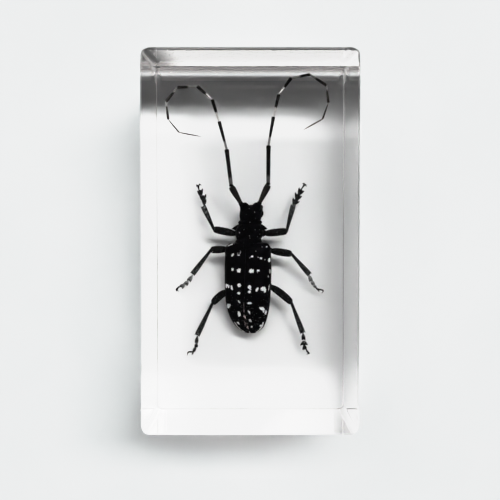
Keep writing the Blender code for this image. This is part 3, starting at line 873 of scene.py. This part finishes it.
# Rounded lumps: x of the right-hand one of each pair, y, z and the three half sizes.
HEAD_LUMPS = (
    (1.2, 6.75, 0.95, 0.92, 0.98, 0.8),
    (1.15, 6.4, -2.9, 0.75, 0.8, 0.9),
    (0.0, 6.9, -3.1, 1.2, 0.6, 0.7),
)
HEAD_DOTS = (
    (1.05, 5.75, 0.06, 0.6), (-0.1, 6.45, 0.05, 0.3), (1.3, 4.5, 0.07, 0.12),
    (-0.55, 5.3, 0.06, 0.15),
)
HEAD_VOXEL, HEAD_SMOOTHING = 0.085, 7


def ball(centre, half_sizes, rows=20, sides=28):
    polar = np.linspace(0.04, math.pi - 0.04, rows)[:, None]
    angle = (math.tau * np.arange(sides) / sides)[None, :]
    wide, along = np.sin(polar), np.cos(polar) + 0 * angle
    shape = np.stack([wide * np.cos(angle), along, wide * np.sin(angle)], axis=-1)
    return skin(np.array(centre) + shape * np.array(half_sizes))


def applied(helper):
    """A helper's mesh with its modifiers applied. The helper itself is removed."""
    mesh = bpy.data.meshes.new_from_object(
        helper.evaluated_get(bpy.context.evaluated_depsgraph_get())
    )
    bpy.data.objects.remove(helper)
    return mesh


def fused(parts, voxel, rounds):
    """Overlapping parts made one smooth shell, as points in millimetres and faces."""
    points, faces, _ = joined(parts)
    mesh = new_mesh("fused", points.tolist(), faces)
    helper = add_object("fused", mesh)
    remesh = helper.modifiers.new("remesh", "REMESH")
    remesh.mode = "VOXEL"
    remesh.voxel_size = voxel
    soften = helper.modifiers.new("soften", "SMOOTH")
    soften.factor = 0.5
    soften.iterations = rounds
    done = applied(helper)
    shape = np.array([vertex.co for vertex in done.vertices], float)
    faces = [tuple(face.vertices) for face in done.polygons]
    bpy.data.meshes.remove(done)
    bpy.data.meshes.remove(mesh)
    return shape, faces


head_parts = [skin(trunk_rings(HEAD, 40, 64)[0])]
for x, y, z, *sizes in HEAD_LUMPS:
    head_parts += [ball((side * x, y, z), sizes) for side in ((-1, 1) if x else (1,))]
head_points, head_faces = fused(head_parts, HEAD_VOXEL, HEAD_SMOOTHING)
head_facts = dot_distance(HEAD_DOTS, head_points)
beetle_piece("head", [(rolled(head_points), head_faces, head_facts)], neck_shell)


# ---- Eyes ----------------------------------------------------------------------------
# Two bean-shaped eyes of many small black facets. Each is grown into the head and bends
# around its feeler's socket, largest below.

EYE_BEND = (
    (1.7, 6.5, -1.3), (1.84, 5.7, -1.0), (1.8, 5.05, -0.2), (1.52, 5.1, 0.8), (1.15, 5.5, 1.35),
)
EYE_SIZES = (0.15, 0.56, 0.5, 0.34, 0.12)
FACET_RISE = 0.012


def make_eye_material():
    material, nodes, shader = new_material("eye_facets")
    facets = nodes.cells(nodes.place(), 14.0 * PER_MM, "DISTANCE_TO_EDGE", 0.25)
    rims = nodes.fade(facets, 0.0, 0.12)
    colour = nodes.mix(rims, (0.002, 0.001, 0.001, 1.0), (0.007, 0.005, 0.0045, 1.0))
    domes = nodes.bump(nodes.product(facets, FACET_RISE * MM))
    nodes.feed(shader, Base_Color=colour, Roughness=0.16, IOR=1.12, Normal=domes)
    return material


eye_facets = make_eye_material()
for side, label in ((-1, "left"), (1, "right")):
    bend = [(side * x, y, z) for x, y, z in EYE_BEND]
    beetle_piece(f"eye_{label}", [skin(rolled(bent_tube(bend, EYE_SIZES, 40, 32)))], eye_facets)


# ---- Jaws and palps ------------------------------------------------------------------
# Two stout curved jaws of dark horn that cross below the face, the lip over them and
# four short palps.

JAW = ((1.0, 6.3, -3.2), (1.25, 6.9, -3.9), (0.7, 7.1, -4.45), (-0.05, 6.95, -4.6))
JAW_SIZES = (0.5, 0.5, 0.36, 0.06)
PALPS = (
    ((0.75, 6.0, -3.6), (0.95, 6.15, -4.2), (0.8, 6.4, -4.75), (0.55, 6.5, -5.1)),
    ((0.35, 5.8, -3.6), (0.42, 5.9, -4.1), (0.32, 6.1, -4.5), (0.25, 6.2, -4.8)),
)
PALP_SIZES = (0.16, 0.17, 0.14, 0.12)
LIP, LIP_SIZES = (0.0, 7.0, -3.75), (0.75, 0.28, 0.42)


def make_jaw_material():
    material, nodes, shader = new_material("jaw_horn")
    place = nodes.place()
    tone = nodes.fade(nodes.noise(place, 1.5 * PER_MM), 0.35, 0.7)
    colour = nodes.mix(tone, (0.004, 0.003, 0.003, 1.0), (0.022, 0.01, 0.006, 1.0))
    grain = nodes.group("shell_grain", Place=place, Gloss=0.25)
    nodes.feed(shader, Base_Color=colour, Roughness=grain["Roughness"], Normal=grain["Normal"])
    nodes.feed(shader, IOR=SHELL_INDEX)
    return material


mouth = []
for side in (-1, 1):
    for points, sizes in ((JAW, JAW_SIZES), *((palp, PALP_SIZES) for palp in PALPS)):
        run = [(side * x, y + 0.06 * side, z) for x, y, z in points]
        mouth.append(skin(rolled(bent_tube(run, sizes, 24, 16))))
lip_points, lip_faces, lip_facts = ball(LIP, LIP_SIZES)
mouth.append((rolled(lip_points), lip_faces, lip_facts))
beetle_piece("jaws_and_palps", mouth, make_jaw_material())


# ---- Feelers -------------------------------------------------------------------------
# Eleven joints each: a stout club, a short ring, then long joints that are pale and thin
# at their start and black and knobbed at their end, ever thinner towards the tip.

FEELERS = {
    "left": (
        (-1.75, 7.3, 11.95), (-3.75, 10.8, 12.4), (-4.65, 18.1, 12.8), (-6.1, 23.5, 13.0),
        (-7.45, 27.75, 13.0), (-10.35, 30.35, 12.8), (-14.3, 30.2, 12.5),
        (-16.6, 27.5, 12.2), (-16.2, 24.05, 12.0), (-14.1, 21.55, 11.8), (-9.75, 20.75, 11.6),
    ),
    "right": (
        (1.75, 7.4, 12.1), (3.55, 11.1, 12.5), (3.6, 18.85, 12.9), (4.55, 24.4, 13.0),
        (5.6, 28.75, 13.0), (8.0, 31.95, 12.8), (11.7, 32.7, 12.6),
        (15.0, 30.6, 12.4), (15.4, 27.3, 12.2), (14.3, 24.15, 12.0), (10.5, 22.05, 11.8),
    ),
}
# Each joint's largest radius, the share of it that is pale, how white that is, and how
# grey the rest.
FEELER_KNOBS = (0.64, 0.43, 0.35, 0.33, 0.33, 0.31, 0.29, 0.25, 0.18, 0.13)
FEELER_PALE = (0.0, 0.2, 0.3, 0.42, 0.44, 0.48, 0.36, 0.28, 0.16, 0.1)
FEELER_WHITE = (0.0, 0.12, 0.35, 0.9, 1.0, 0.7, 0.6, 0.9, 0.5, 0.3)
FEELER_GREY = (0.0, 0.1, 0.1, 0.1, 0.2, 0.3, 0.5, 0.5, 0.7, 1.0)
# The club's grey is a painted sheen: the shine of its glossy black shell, put into its colour.
CLUB_SHEEN_GREY = 0.35
SOCKET_SIZE, SOCKET_SHARE = 0.5, 0.14
# A joint's shape: share of its length, share of its largest radius.
SOCKET_PROFILE = ((0.0, 0.8), (0.5, 1.0), (0.85, 0.9), (1.0, 0.6))
CLUB_PROFILE = (
    (0.0, 0.58), (0.14, 0.6), (0.4, 0.76), (0.7, 0.96), (0.88, 1.0), (0.97, 0.9), (1.0, 0.55)
)
RING_PROFILE = ((0.0, 0.7), (0.5, 1.0), (1.0, 0.7))
SHAFT_PROFILE = (
    (0.0, 0.66), (0.04, 0.84), (0.3, 0.9), (0.7, 0.92), (0.88, 0.96), (0.95, 1.06), (1.0, 0.7)
)
JOINT_PROFILE = (
    (0.0, 0.4), (0.04, 0.6), (0.3, 0.68), (0.55, 0.86), (0.85, 0.96), (0.95, 1.0), (1.0, 0.6)
)
TIP_PROFILE = ((0.0, 0.6), (0.1, 0.9), (0.5, 1.0), (0.85, 0.6), (1.0, 0.15))


def limb(start, end, profile, radius, rows=22, sides=14, flat=1.0, bow=(0.0, 0.0, 0.0)):
    """Rings of a joint from start to end, bowed at its middle, and each ring's share."""
    start, end, bow = (np.array(point, float) for point in (start, end, bow))
    share, size = smooth_through(profile, rows).T
    share = np.clip(share, 0.0, 1.0)
    middle = start + (end - start) * share[:, None] + bow * (4 * share * (1 - share))[:, None]
    along = (end - start) / np.linalg.norm(end - start)
    across = np.cross(along, (0.0, 0.0, 1.0))
    across /= np.linalg.norm(across)
    upward = np.cross(across, along)
    angle = (math.tau * np.arange(sides) / sides)[None, :, None]
    reach = (size * radius)[:, None, None]
    ring = across * reach * np.cos(angle) + upward * reach * flat * np.sin(angle)
    return middle[:, None] + ring, share[:, None]


def joint(facts, *shape):
    """A closed joint that has the same facts all over."""
    return skin(limb(*shape)[0], facts)


def feeler_parts(joints):
    joints = np.array(joints, float)
    root, club_end = joints[:2]
    club, bare = club_end - root, {"pale": -1.0}
    ring_end = club_end + 0.07 * (joints[2] - club_end)
    club_facts = {"pale": -1.0, "grey": CLUB_SHEEN_GREY}
    parts = [
        joint(
            bare, root - 0.3 * club, root + SOCKET_SHARE * club, SOCKET_PROFILE, SOCKET_SIZE
        ),
        joint(
            club_facts, root - 0.08 * club, club_end, CLUB_PROFILE, FEELER_KNOBS[0], 40, 20
        ),
        joint(bare, club_end, ring_end, RING_PROFILE, FEELER_KNOBS[1]),
    ]
    starts = [ring_end, *joints[2:-1]]
    for index, (start, end) in enumerate(zip(starts, joints[2:]), 1):
        profile = {1: SHAFT_PROFILE, len(starts): TIP_PROFILE}.get(index, JOINT_PROFILE)
        overlap = start - 0.02 * (end - start)
        rings, share = limb(overlap, end, profile, FEELER_KNOBS[index], rows=32)
        pale = (FEELER_PALE[index] - share) * np.linalg.norm(end - start)
        tones = {"white": FEELER_WHITE[index], "grey": FEELER_GREY[index]}
        parts.append(skin(rings, {"pale": pale, **tones}))
    return parts


def make_feeler_material():
    """Dark shell, with short pale hairs up to a soft line on each joint."""
    material, nodes, shader = new_material("feeler_shell")
    place = nodes.place()
    grain = nodes.group("shell_grain", Place=place, Pit_Size_mm=0.09, Gloss=0.45)
    torn = nodes.math("SUBTRACT", nodes.noise(place, 5.0 * PER_MM, 4.0, 0.7), 0.5)
    edge = nodes.total(nodes.attribute("pale"), torn)
    hairs = nodes.fade(nodes.noise(place, 12.0 * PER_MM, 2.0, 0.8), 0.3, 0.65)
    white = nodes.mix(hairs, (0.3, 0.31, 0.31, 1.0), (0.9, 0.9, 0.88, 1.0))
    # The grey of the darker part is the outer joints' own tone, and on the club a painted
    # sheen.
    dark = nodes.mix(nodes.attribute("grey"), LEG_BLACK, (0.06, 0.052, 0.05, 1.0))
    cover = nodes.product(nodes.fade(edge, -0.2, 0.2), nodes.attribute("white"))
    colour = nodes.mix(cover, dark, white)
    nodes.feed(shader, Base_Color=colour, Roughness=grain["Roughness"], Normal=grain["Normal"])
    nodes.feed(shader, IOR=SHELL_INDEX)
    return material


feeler_shell = make_feeler_material()
feelers = [
    beetle_piece(f"feeler_{label}", feeler_parts(joints), feeler_shell)
    for label, joints in FEELERS.items()
]


# ---- Legs ----------------------------------------------------------------------------
# Six legs of black shell hung from the chest, each with a hip, thigh, shin and foot. A
# foot has three joints with two pointed, downy lobes each and a thin one that ends in
# two hooked claws.

# Hip, thigh base, knee and shin end.
LEGS = {
    "front_left": ((-1.2, 1.9, 9.0), (-2.9, 1.5, 9.4), (-7.3, 2.4, 10.4), (-9.5, 7.0, 8.7)),
    "front_right": ((1.2, 1.9, 9.0), (2.9, 1.55, 9.4), (7.3, 2.0, 10.4), (8.7, 7.2, 8.7)),
    "middle_left": (
        (-1.6, -1.5, 8.6), (-4.6, -1.6, 9.4), (-7.9, -1.75, 10.2), (-11.7, -6.6, 8.4),
    ),
    "middle_right": ((1.4, -1.5, 8.6), (4.2, -1.9, 9.4), (8.3, -2.55, 10.2), (12.0, -6.7, 8.4)),
    "hind_left": (
        (-1.8, -8.3, 8.6), (-4.6, -10.1, 9.4), (-7.6, -12.5, 10.2), (-10.8, -19.1, 8.4),
    ),
    "hind_right": ((1.6, -7.6, 8.6), (4.0, -9.1, 9.4), (8.3, -12.4, 10.2), (10.7, -18.6, 8.4)),
}
# Each lobed joint's root and two lobe tips, then the claw joint's two ends (x, y).
FEET = {
    "front_left": (
        ((-9.34, 7.2), (-9.75, 8.5), (-9.0, 8.6)), ((-9.5, 8.0), (-10.35, 9.3), (-9.0, 9.65)),
        ((-10.0, 9.0), (-10.85, 10.35), (-9.75, 10.8)), ((-10.3, 9.6), (-10.63, 11.3)),
    ),
    "front_right": (
        ((8.8, 7.35), (8.7, 8.85), (10.05, 8.1)), ((9.4, 8.3), (9.2, 10.0), (10.55, 9.2)),
        ((9.85, 9.4), (10.0, 11.0), (11.05, 10.3)), ((10.3, 10.4), (11.0, 11.45)),
    ),
    "middle_left": (
        ((-11.8, -6.95), (-12.95, -8.0), (-12.3, -8.4)),
        ((-12.7, -8.1), (-13.7, -8.7), (-13.0, -9.2)),
        ((-13.4, -8.75), (-14.55, -9.15), (-14.0, -9.8)), ((-13.9, -9.15), (-14.9, -9.5)),
    ),
    "middle_right": (
        ((11.95, -6.85), (12.2, -8.35), (12.75, -8.1)),
        ((12.48, -8.0), (12.75, -9.05), (13.25, -8.85)),
        ((12.9, -8.85), (13.3, -9.6), (13.65, -9.45)), ((13.1, -9.1), (13.85, -9.9)),
    ),
    "hind_left": (
        ((-10.8, -19.4), (-11.3, -20.9), (-10.85, -21.0)),
        ((-11.0, -20.9), (-11.4, -21.75), (-10.9, -21.85)),
        ((-11.2, -21.6), (-11.8, -22.7), (-11.5, -22.8)), ((-11.4, -22.1), (-11.8, -22.9)),
    ),
    "hind_right": (
        ((10.78, -18.8), (10.65, -20.3), (11.25, -20.3)),
        ((10.98, -20.4), (10.3, -21.45), (11.8, -21.35)),
        ((11.1, -21.2), (10.85, -22.45), (11.6, -22.3)), ((11.25, -21.7), (11.8, -22.8)),
    ),
}
# Each claw's bend and its point (x, y).
CLAWS = {
    "front_left": (((-10.9, 11.5), (-10.95, 11.1)), ((-10.35, 11.65), (-10.05, 11.4))),
    "front_right": (((11.3, 11.55), (11.45, 11.15)), ((11.0, 11.8), (10.65, 11.75))),
    "middle_left": (((-15.2, -9.85), (-15.15, -10.4)), ((-15.0, -10.0), (-14.75, -10.35))),
    "middle_right": (((15.0, -10.2), (14.7, -10.75)), ((14.1, -10.2), (14.1, -10.4))),
    "hind_left": (((-12.7, -22.8), (-13.05, -23.6)), ((-11.9, -23.2), (-12.1, -23.3))),
    "hind_right": (((11.95, -23.1), (11.65, -23.3)), ((12.1, -23.0), (12.15, -23.3))),
}
FOOT_BLOOM = {"front": 0.2, "middle": 0.38, "hind": 0.22}
THIGH_BLOOM, SHIN_BLOOM, SHIN_END_BLOOM = 0.15, 0.15, 0.1
FOOT_DROP, CLAW_DROP = 1.1, 0.35
HIP_RADIUS, THIGH_RADIUS, SHIN_RADIUS = 0.8, 0.76, 0.54
HIP_PROFILE = ((0.0, 0.6), (0.3, 1.0), (0.7, 0.95), (0.92, 0.7), (1.0, 0.5))
THIGH_PROFILE = (
    (0.0, 0.5), (0.08, 0.7), (0.3, 0.95), (0.55, 1.0), (0.8, 0.96), (0.93, 0.86), (0.98, 0.72),
    (1.0, 0.4),
)
SHIN_PROFILE = (
    (0.0, 0.45), (0.05, 0.52), (0.25, 0.6), (0.55, 0.82), (0.8, 0.97), (0.96, 1.0), (1.0, 0.7)
)
# A foot joint is a stem that widens, and two pointed lobes that part near its end.
STEM_PROFILE = ((0.0, 0.55), (0.35, 0.8), (0.75, 1.0), (1.0, 0.6))
LOBE_PROFILE = ((0.0, 0.6), (0.4, 1.0), (0.75, 0.74), (1.0, 0.12))
STEM_SHARE, STEM_SPREAD, STEM_LEAST = 0.9, 0.36, 0.24
LOBE_START, LOBE_RADIUS, FOOT_FLAT = 0.15, 0.25, 0.6
CLAW_JOINT_PROFILE = ((0.0, 0.6), (0.6, 0.75), (0.9, 1.0), (1.0, 0.6))
CLAW_JOINT_RADIUS, CLAW_SIZES = 0.19, (0.15, 0.13, 0.04)
SPUR_SIZES = (0.16, 0.12, 0.03)
THIGH_BOW = 0.25


def at_height(point, z):
    return np.array((*point, z))


def foot_parts(foot, claws, shin_end, bloom):
    *lobed, (claw_root, claw_end) = foot
    top = shin_end[2]
    parts = []
    for index, (root, left, right) in enumerate(lobed):
        start = at_height(root, top - FOOT_DROP * index / 3)
        low = top - FOOT_DROP * (index + 1) / 3
        left, right = at_height(left, low), at_height(right, low)
        stem = start + STEM_SHARE * (0.5 * (left + right) - start)
        width = max(STEM_SPREAD * np.linalg.norm(left - right), STEM_LEAST)
        fork = start + LOBE_START * (stem - start)
        for shape in (
            (start, stem, STEM_PROFILE, width, 18, 16),
            (fork, left, LOBE_PROFILE, LOBE_RADIUS, 18, 14),
            (fork, right, LOBE_PROFILE, LOBE_RADIUS, 18, 14),
        ):
            rings, share = limb(*shape, FOOT_FLAT)
            parts.append(skin(rings, {"bloom": bloom * (1.2 - 0.5 * share)}))
    start = at_height(claw_root, top - 0.75 * FOOT_DROP)
    end = at_height(claw_end, top - FOOT_DROP)
    facts = {"bloom": 0.5 * bloom}
    parts.append(joint(facts, start, end, CLAW_JOINT_PROFILE, CLAW_JOINT_RADIUS, 16, 12))
    root = 0.85 * end + 0.15 * start
    for bend, point in claws:
        hook = [root, at_height(bend, end[2] + 0.1), at_height(point, end[2] - CLAW_DROP)]
        parts.append(skin(bent_tube(hook, CLAW_SIZES, 16, 10), {"bloom": 0.0}))
    return parts


def leg_parts(label):
    hip, thigh, knee, shin_end = (np.array(point) for point in LEGS[label])
    bow = np.array((0.0, THIGH_BOW if "hind" in label else 0.0, 0.0))
    hip_end, facts = thigh + 0.06 * (knee - thigh), {"bloom": THIGH_BLOOM}
    parts = [
        joint(facts, hip, hip_end, HIP_PROFILE, HIP_RADIUS, 24, 22),
        joint(facts, thigh, knee, THIGH_PROFILE, THIGH_RADIUS, 46, 26, 1.0, bow),
    ]
    shin_start = knee - 0.04 * (shin_end - knee)
    rings, share = limb(shin_start, shin_end, SHIN_PROFILE, SHIN_RADIUS, 44, 22, 0.85)
    parts.append(skin(rings, {"bloom": SHIN_BLOOM + SHIN_END_BLOOM * share}))
    along = (shin_end - knee) / np.linalg.norm(shin_end - knee)
    across = np.cross(along, (0.0, 0.0, 1.0))
    for side in (-1, 1):
        outward = side * across
        root = shin_end - 0.35 * along + 0.24 * outward
        spur = [root, root + 0.3 * along + 0.2 * outward, root + 0.62 * along + 0.24 * outward]
        parts.append(skin(bent_tube(spur, SPUR_SIZES, 10, 10), {"bloom": 0.0}))
    bloom = FOOT_BLOOM[label.split("_")[0]]
    return parts + foot_parts(FEET[label], CLAWS[label], shin_end, bloom)


leg_shell = shell_material("leg_shell", LEG_BLACK, 0.1, 0.008, 0.42, bloom="bloom")
legs = [beetle_piece(f"leg_{label}", leg_parts(label), leg_shell) for label in LEGS]


# ---- Bristles ------------------------------------------------------------------------
# Short stiff hairs of dark horn. Each stands in a pore of the shell, on the legs and on
# the feelers, and leans over.

BRISTLE_LENGTH, BRISTLE_RADIUS, BRISTLE_LEAN_DEG = 0.17, 0.009, 38.0
BRISTLE_BLACK, BRISTLE_GREY = (0.01, 0.01, 0.01, 1.0), (0.16, 0.17, 0.17, 1.0)
# How many there are on each square millimetre.
LEG_BRISTLES, FEELER_BRISTLES = 6.0, 3.0
GEOMETRY = "NodeSocketGeometry"


def make_bristle_tree(material):
    """Geometry nodes that scatter leaning bristles over a surface, and keep only those."""
    inputs = (
        ("Geometry", GEOMETRY, None),
        ("Density per mm2", FLOAT, 4.0),
        ("Length mm", FLOAT, BRISTLE_LENGTH),
        ("Radius mm", FLOAT, BRISTLE_RADIUS),
        ("Seed", "NodeSocketInt", 1),
    )
    outputs = (("Geometry", GEOMETRY),)
    nodes, source, target = new_group("bristles", inputs, outputs, "GeometryNodeTree")
    scatter = nodes.add("GeometryNodeDistributePointsOnFaces", distribute_method="RANDOM")
    density = nodes.product(source["Density per mm2"], PER_MM * PER_MM)
    nodes.feed(scatter, Mesh=source["Geometry"], Density=density, Seed=source["Seed"])
    cone = nodes.add("GeometryNodeMeshCone")
    nodes.feed(
        cone, Vertices=4, Radius_Top=0.0,
        Radius_Bottom=nodes.product(source["Radius mm"], MM),
        Depth=nodes.product(source["Length mm"], MM),
    )
    lean = nodes.add("FunctionNodeRotateRotation", rotation_space="LOCAL")
    nodes.put(scatter.outputs["Rotation"], lean.inputs["Rotation"])
    lean.inputs["Rotate By"].default_value = (math.radians(BRISTLE_LEAN_DEG), 0.0, 0.0)
    size = nodes.add("FunctionNodeRandomValue", data_type="FLOAT")
    size.inputs[2].default_value, size.inputs[3].default_value = 0.6, 1.25
    nodes.put(source["Seed"], size.inputs["Seed"])
    place = nodes.add("GeometryNodeInstanceOnPoints")
    nodes.feed(place, Points=scatter.outputs["Points"], Instance=cone.outputs["Mesh"])
    nodes.feed(place, Rotation=lean.outputs[0], Scale=size.outputs[1])
    real = nodes.add("GeometryNodeRealizeInstances")
    nodes.put(place.outputs[0], real.inputs[0])
    dress = nodes.add("GeometryNodeSetMaterial")
    nodes.feed(dress, Geometry=real.outputs[0], Material=material)
    nodes.put(dress.outputs[0], target[0])
    return nodes.tree


def mottled(name, scale, span, dark, pale, roughness):
    """A matt material that drifts between two colours."""
    material, nodes, shader = new_material(name)
    tone = nodes.fade(nodes.noise(nodes.place(), scale * PER_MM), *span)
    colour = nodes.mix(tone, dark, pale)
    nodes.feed(shader, Base_Color=colour, Roughness=roughness, IOR=SHELL_INDEX)
    return material


def add_bristles(name, host, density, seed):
    """Bristles over one piece, turned into a plain mesh of their own."""
    helper = add_object(name, host.data.copy())
    modifier = helper.modifiers.new("bristles", "NODES")
    modifier.node_group = bristle_tree
    sockets = bristle_tree.interface.items_tree
    inputs = {item.name: item.identifier for item in sockets if item.in_out == "INPUT"}
    modifier[inputs["Density per mm2"]] = density
    modifier[inputs["Seed"]] = seed
    grown = applied(helper)
    grown.name = name
    return dress_beetle(add_object(name, grown))


bristle = mottled("bristle", 2.0, (0.4, 0.65), BRISTLE_BLACK, BRISTLE_GREY, 0.5)
bristle_tree = make_bristle_tree(bristle)
for seed, host in enumerate(legs, 1):
    add_bristles(f"bristles_{host.name}", host, LEG_BRISTLES, seed)
for seed, host in enumerate(feelers, 11):
    add_bristles(f"bristles_{host.name}", host, FEELER_BRISTLES, seed)


# ---- Specks in the resin -------------------------------------------------------------
# Dust, lint and tiny bubbles of air, most of them past the head. They were caught as the
# resin was poured, and it set around them.

# Place of each, its length, its bend and its turn in degrees.
LINT = (
    (-6.6, 29.9, 0.5, 0.2, 70), (-3.1, 28.9, 0.8, 0.3, 60), (-4.3, 28.6, 0.5, -0.2, 110),
    (-11.0, 26.5, 0.5, 0.2, 80), (-5.9, 26.8, 0.6, 0.2, 20), (-8.3, 26.2, 0.6, -0.2, 70),
    (-9.2, 27.5, 0.35, 0.1, 140), (2.5, 29.7, 0.8, 0.1, 65), (3.9, 29.3, 0.7, -0.2, 20),
    (4.3, 29.2, 0.6, 0.2, 75), (2.3, 27.4, 0.9, 0.2, 20), (2.4, 27.2, 0.9, -0.1, 80),
    (2.2, 27.2, 0.8, 0.2, 135), (11.6, 30.5, 0.6, 0.3, 75), (-4.6, 28.3, 0.4, 0.1, 30),
    (-1.6, 28.5, 0.4, 0.1, 60), (14.5, 30.0, 0.4, 0.1, 100), (-13.4, 27.4, 0.35, 0.1, 20),
)
LINT_RADIUS, LINT_Z = 0.028, 15.5
LINT_GREY, LINT_WHITE = (0.75, 0.76, 0.76, 1.0), (0.95, 0.95, 0.94, 1.0)
# Place and size of each grain of dust.
MOTES = (
    (-15.1, 32.1, 0.16), (18.3, 32.2, 0.1), (-6.0, 29.2, 0.07), (3.7, 34.0, 0.12),
    (0.8, 26.0, 0.06),
)
BUBBLE_COUNT, BUBBLE_SIZES, BUBBLE_SEED = 26, (0.03, 0.08), 5
# Where bubbles hang: how far out to either side, y and z.
BUBBLE_SPANS = ((6.0, 17.5), (-33.0, 33.0), (14.5, 18.0))
DIMPLE_DEPTH = 0.002


def make_bubble_material():
    material, nodes, shader = new_material("bubble_wall")
    uneven = nodes.noise(nodes.place(), 20 * PER_MM)
    dimples = nodes.bump(nodes.product(uneven, DIMPLE_DEPTH * MM))
    nodes.feed(shader, Base_Color=(0.9, 0.9, 0.9, 1.0), Roughness=0.08, IOR=1.4, Normal=dimples)
    return material


def resin_piece(name, parts, material):
    points, faces, _ = joined(parts)
    obj = add_object(name, new_mesh(name, (points * MM).tolist(), faces), material)
    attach(obj, "root")
    return obj


def lint_parts():
    parts = []
    for index, (x, y, length, bend, turn) in enumerate(LINT):
        z, angle = LINT_Z + 0.8 * math.sin(index * 2.4), math.radians(turn)
        along = np.array((math.cos(angle), math.sin(angle), 0.15)) * length / 2
        side = np.array((-along[1], along[0], 0.2 * bend)) * bend
        middle = np.array((x, y, z))
        run = [middle - along, middle + side, middle + along]
        sizes = (0.3 * LINT_RADIUS, LINT_RADIUS, 0.4 * LINT_RADIUS)
        parts.append(skin(bent_tube(run, sizes, 10, 6)))
    for x, y, size in MOTES:
        parts.append(ball((x, y, LINT_Z + 0.5), (size, 0.8 * size, 0.5 * size), 7, 9))
    return parts


def bubble_parts():
    pick = random.Random(BUBBLE_SEED)
    parts = []
    for _ in range(BUBBLE_COUNT):
        side = pick.choice((-1, 1))
        x, y, z = (pick.uniform(*span) for span in BUBBLE_SPANS)
        parts.append(ball((side * x, y, z), (pick.uniform(*BUBBLE_SIZES),) * 3, 9, 12))
    return parts


lint = mottled("lint", 3.0, (0.35, 0.65), LINT_GREY, LINT_WHITE, 0.7)
resin_piece("lint", lint_parts(), lint)
resin_piece("bubbles", bubble_parts(), make_bubble_material())


# ---- Table ---------------------------------------------------------------------------
# A plain pale board with matt paint, flat, its tone changing faintly from place to place. The
# block lies loose on it.

TABLE_HALF, TABLE_DROP = 3.0, 0.00002


def make_table_material():
    material, nodes, shader = new_material("pale_table")
    place = nodes.place()
    tone = nodes.fade(nodes.noise(place, 30.0, 4.0), 0.3, 0.7)
    colour = nodes.mix(tone, (0.75, 0.79, 0.8, 1.0), (0.79, 0.825, 0.835, 1.0))
    nodes.feed(shader, Base_Color=colour, Roughness=0.8)
    return material


table_mesh = bpy.data.meshes.new("table")
signs = ((-1, -1), (1, -1), (1, 1), (-1, 1))
corners = [(i * TABLE_HALF, j * TABLE_HALF, -TABLE_DROP) for i, j in signs]
table_mesh.from_pydata(corners, [], [(0, 1, 2, 3)])
table = add_object("table", table_mesh, make_table_material())
table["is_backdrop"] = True


# ---- Light ---------------------------------------------------------------------------
# Soft daylight from a wide window past the head end, a paler one to each side and a dim
# room. They are painted on the sky, far off.

ROOM = 0.03
# Each window spans x and y on a sheet one unit above the block: low, high, then how far
# it leans, its edge's softness and its strength.
WINDOWS = (
    ((0.54, 1.9), (0.47, 0.88), 0.95, 0.04, 16.0),
    ((1.2, 4.0), (0.3, 1.8), 0.0, 0.4, 1.3),
    ((-4.0, -0.4), (0.3, 1.8), 0.0, 0.4, 1.9),
    ((-2.0, 2.0), (-6.0, -1.2), 0.0, 0.8, 0.17),
)
WALL_SEEN = 0.75


def make_light():
    world = bpy.data.worlds.new("soft_windows")
    world.use_nodes = True
    nodes = Nodes(world.node_tree)
    background = world.node_tree.nodes["Background"]
    x, y, z = nodes.split(nodes.add("ShaderNodeTexCoord").outputs["Generated"])
    height = nodes.math("MAXIMUM", z, 0.02)
    across, along = nodes.math("DIVIDE", x, height), nodes.math("DIVIDE", y, height)
    light = ROOM
    for (left, right), (near, far), lean, soft, strength in WINDOWS:
        leant = nodes.total(across, nodes.product(along, lean))
        pane = nodes.product(
            nodes.fade(leant, left - soft, left + soft),
            nodes.fade(leant, right + soft, right - soft),
            nodes.fade(along, near - soft, near + soft),
            nodes.fade(along, far + soft, far - soft),
        )
        light = nodes.total(light, nodes.product(pane, strength))
    seen = nodes.add("ShaderNodeLightPath").outputs["Is Camera Ray"]
    light = nodes.total(light, nodes.product(seen, WALL_SEEN))
    nodes.feed(background, Strength=light, Color=(1.0, 0.99, 0.98, 1.0))
    bpy.context.scene.world = world


make_light()


# ---- Camera --------------------------------------------------------------------------
# It stands close over the block and looks straight down on it, but for a slight tilt. Its
# response has a soft shoulder, so that the brightest resin doesn't burn out.

CAMERA_PLACE = (-0.05, -0.01, 108.0)
CAMERA_TILT_DEG = -1.06
CAMERA_LENS = 34.0
# Light that comes in, and how bright it is shown.
RESPONSE = ((0.1, 0.085), (0.5, 0.5), (0.78, 0.8), (0.95, 0.87), (1.2, 0.92), (1.6, 0.965))
BRIGHTEST = (2.2, 1.0)

camera_data = bpy.data.cameras.new("camera")
camera_data.sensor_width = 36.0
camera_data.lens = CAMERA_LENS
camera_data.clip_start = 0.001
camera = add_object("camera", camera_data)
camera.location = Vector(CAMERA_PLACE) * MM
camera.rotation_euler = (math.radians(CAMERA_TILT_DEG), 0.0, 0.0)

scene = bpy.context.scene
scene.camera = camera
scene.view_settings.view_transform = "Standard"
scene.view_settings.use_curve_mapping = True
tone = scene.view_settings.curve_mapping
tone.use_clip = False
tone.curves[3].points[1].location = BRIGHTEST
for light, shown in RESPONSE:
    tone.curves[3].points.new(light, shown)
tone.update()
scene.cycles.max_bounces = 24
scene.cycles.transmission_bounces = 24
scene.cycles.glossy_bounces = 12
scene.cycles.sample_clamp_indirect = 0.0
scene.cycles.blur_glossy = 0.0

sizes = {"cad_box": cad_box, "visual_box": [list(corner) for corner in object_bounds()]}
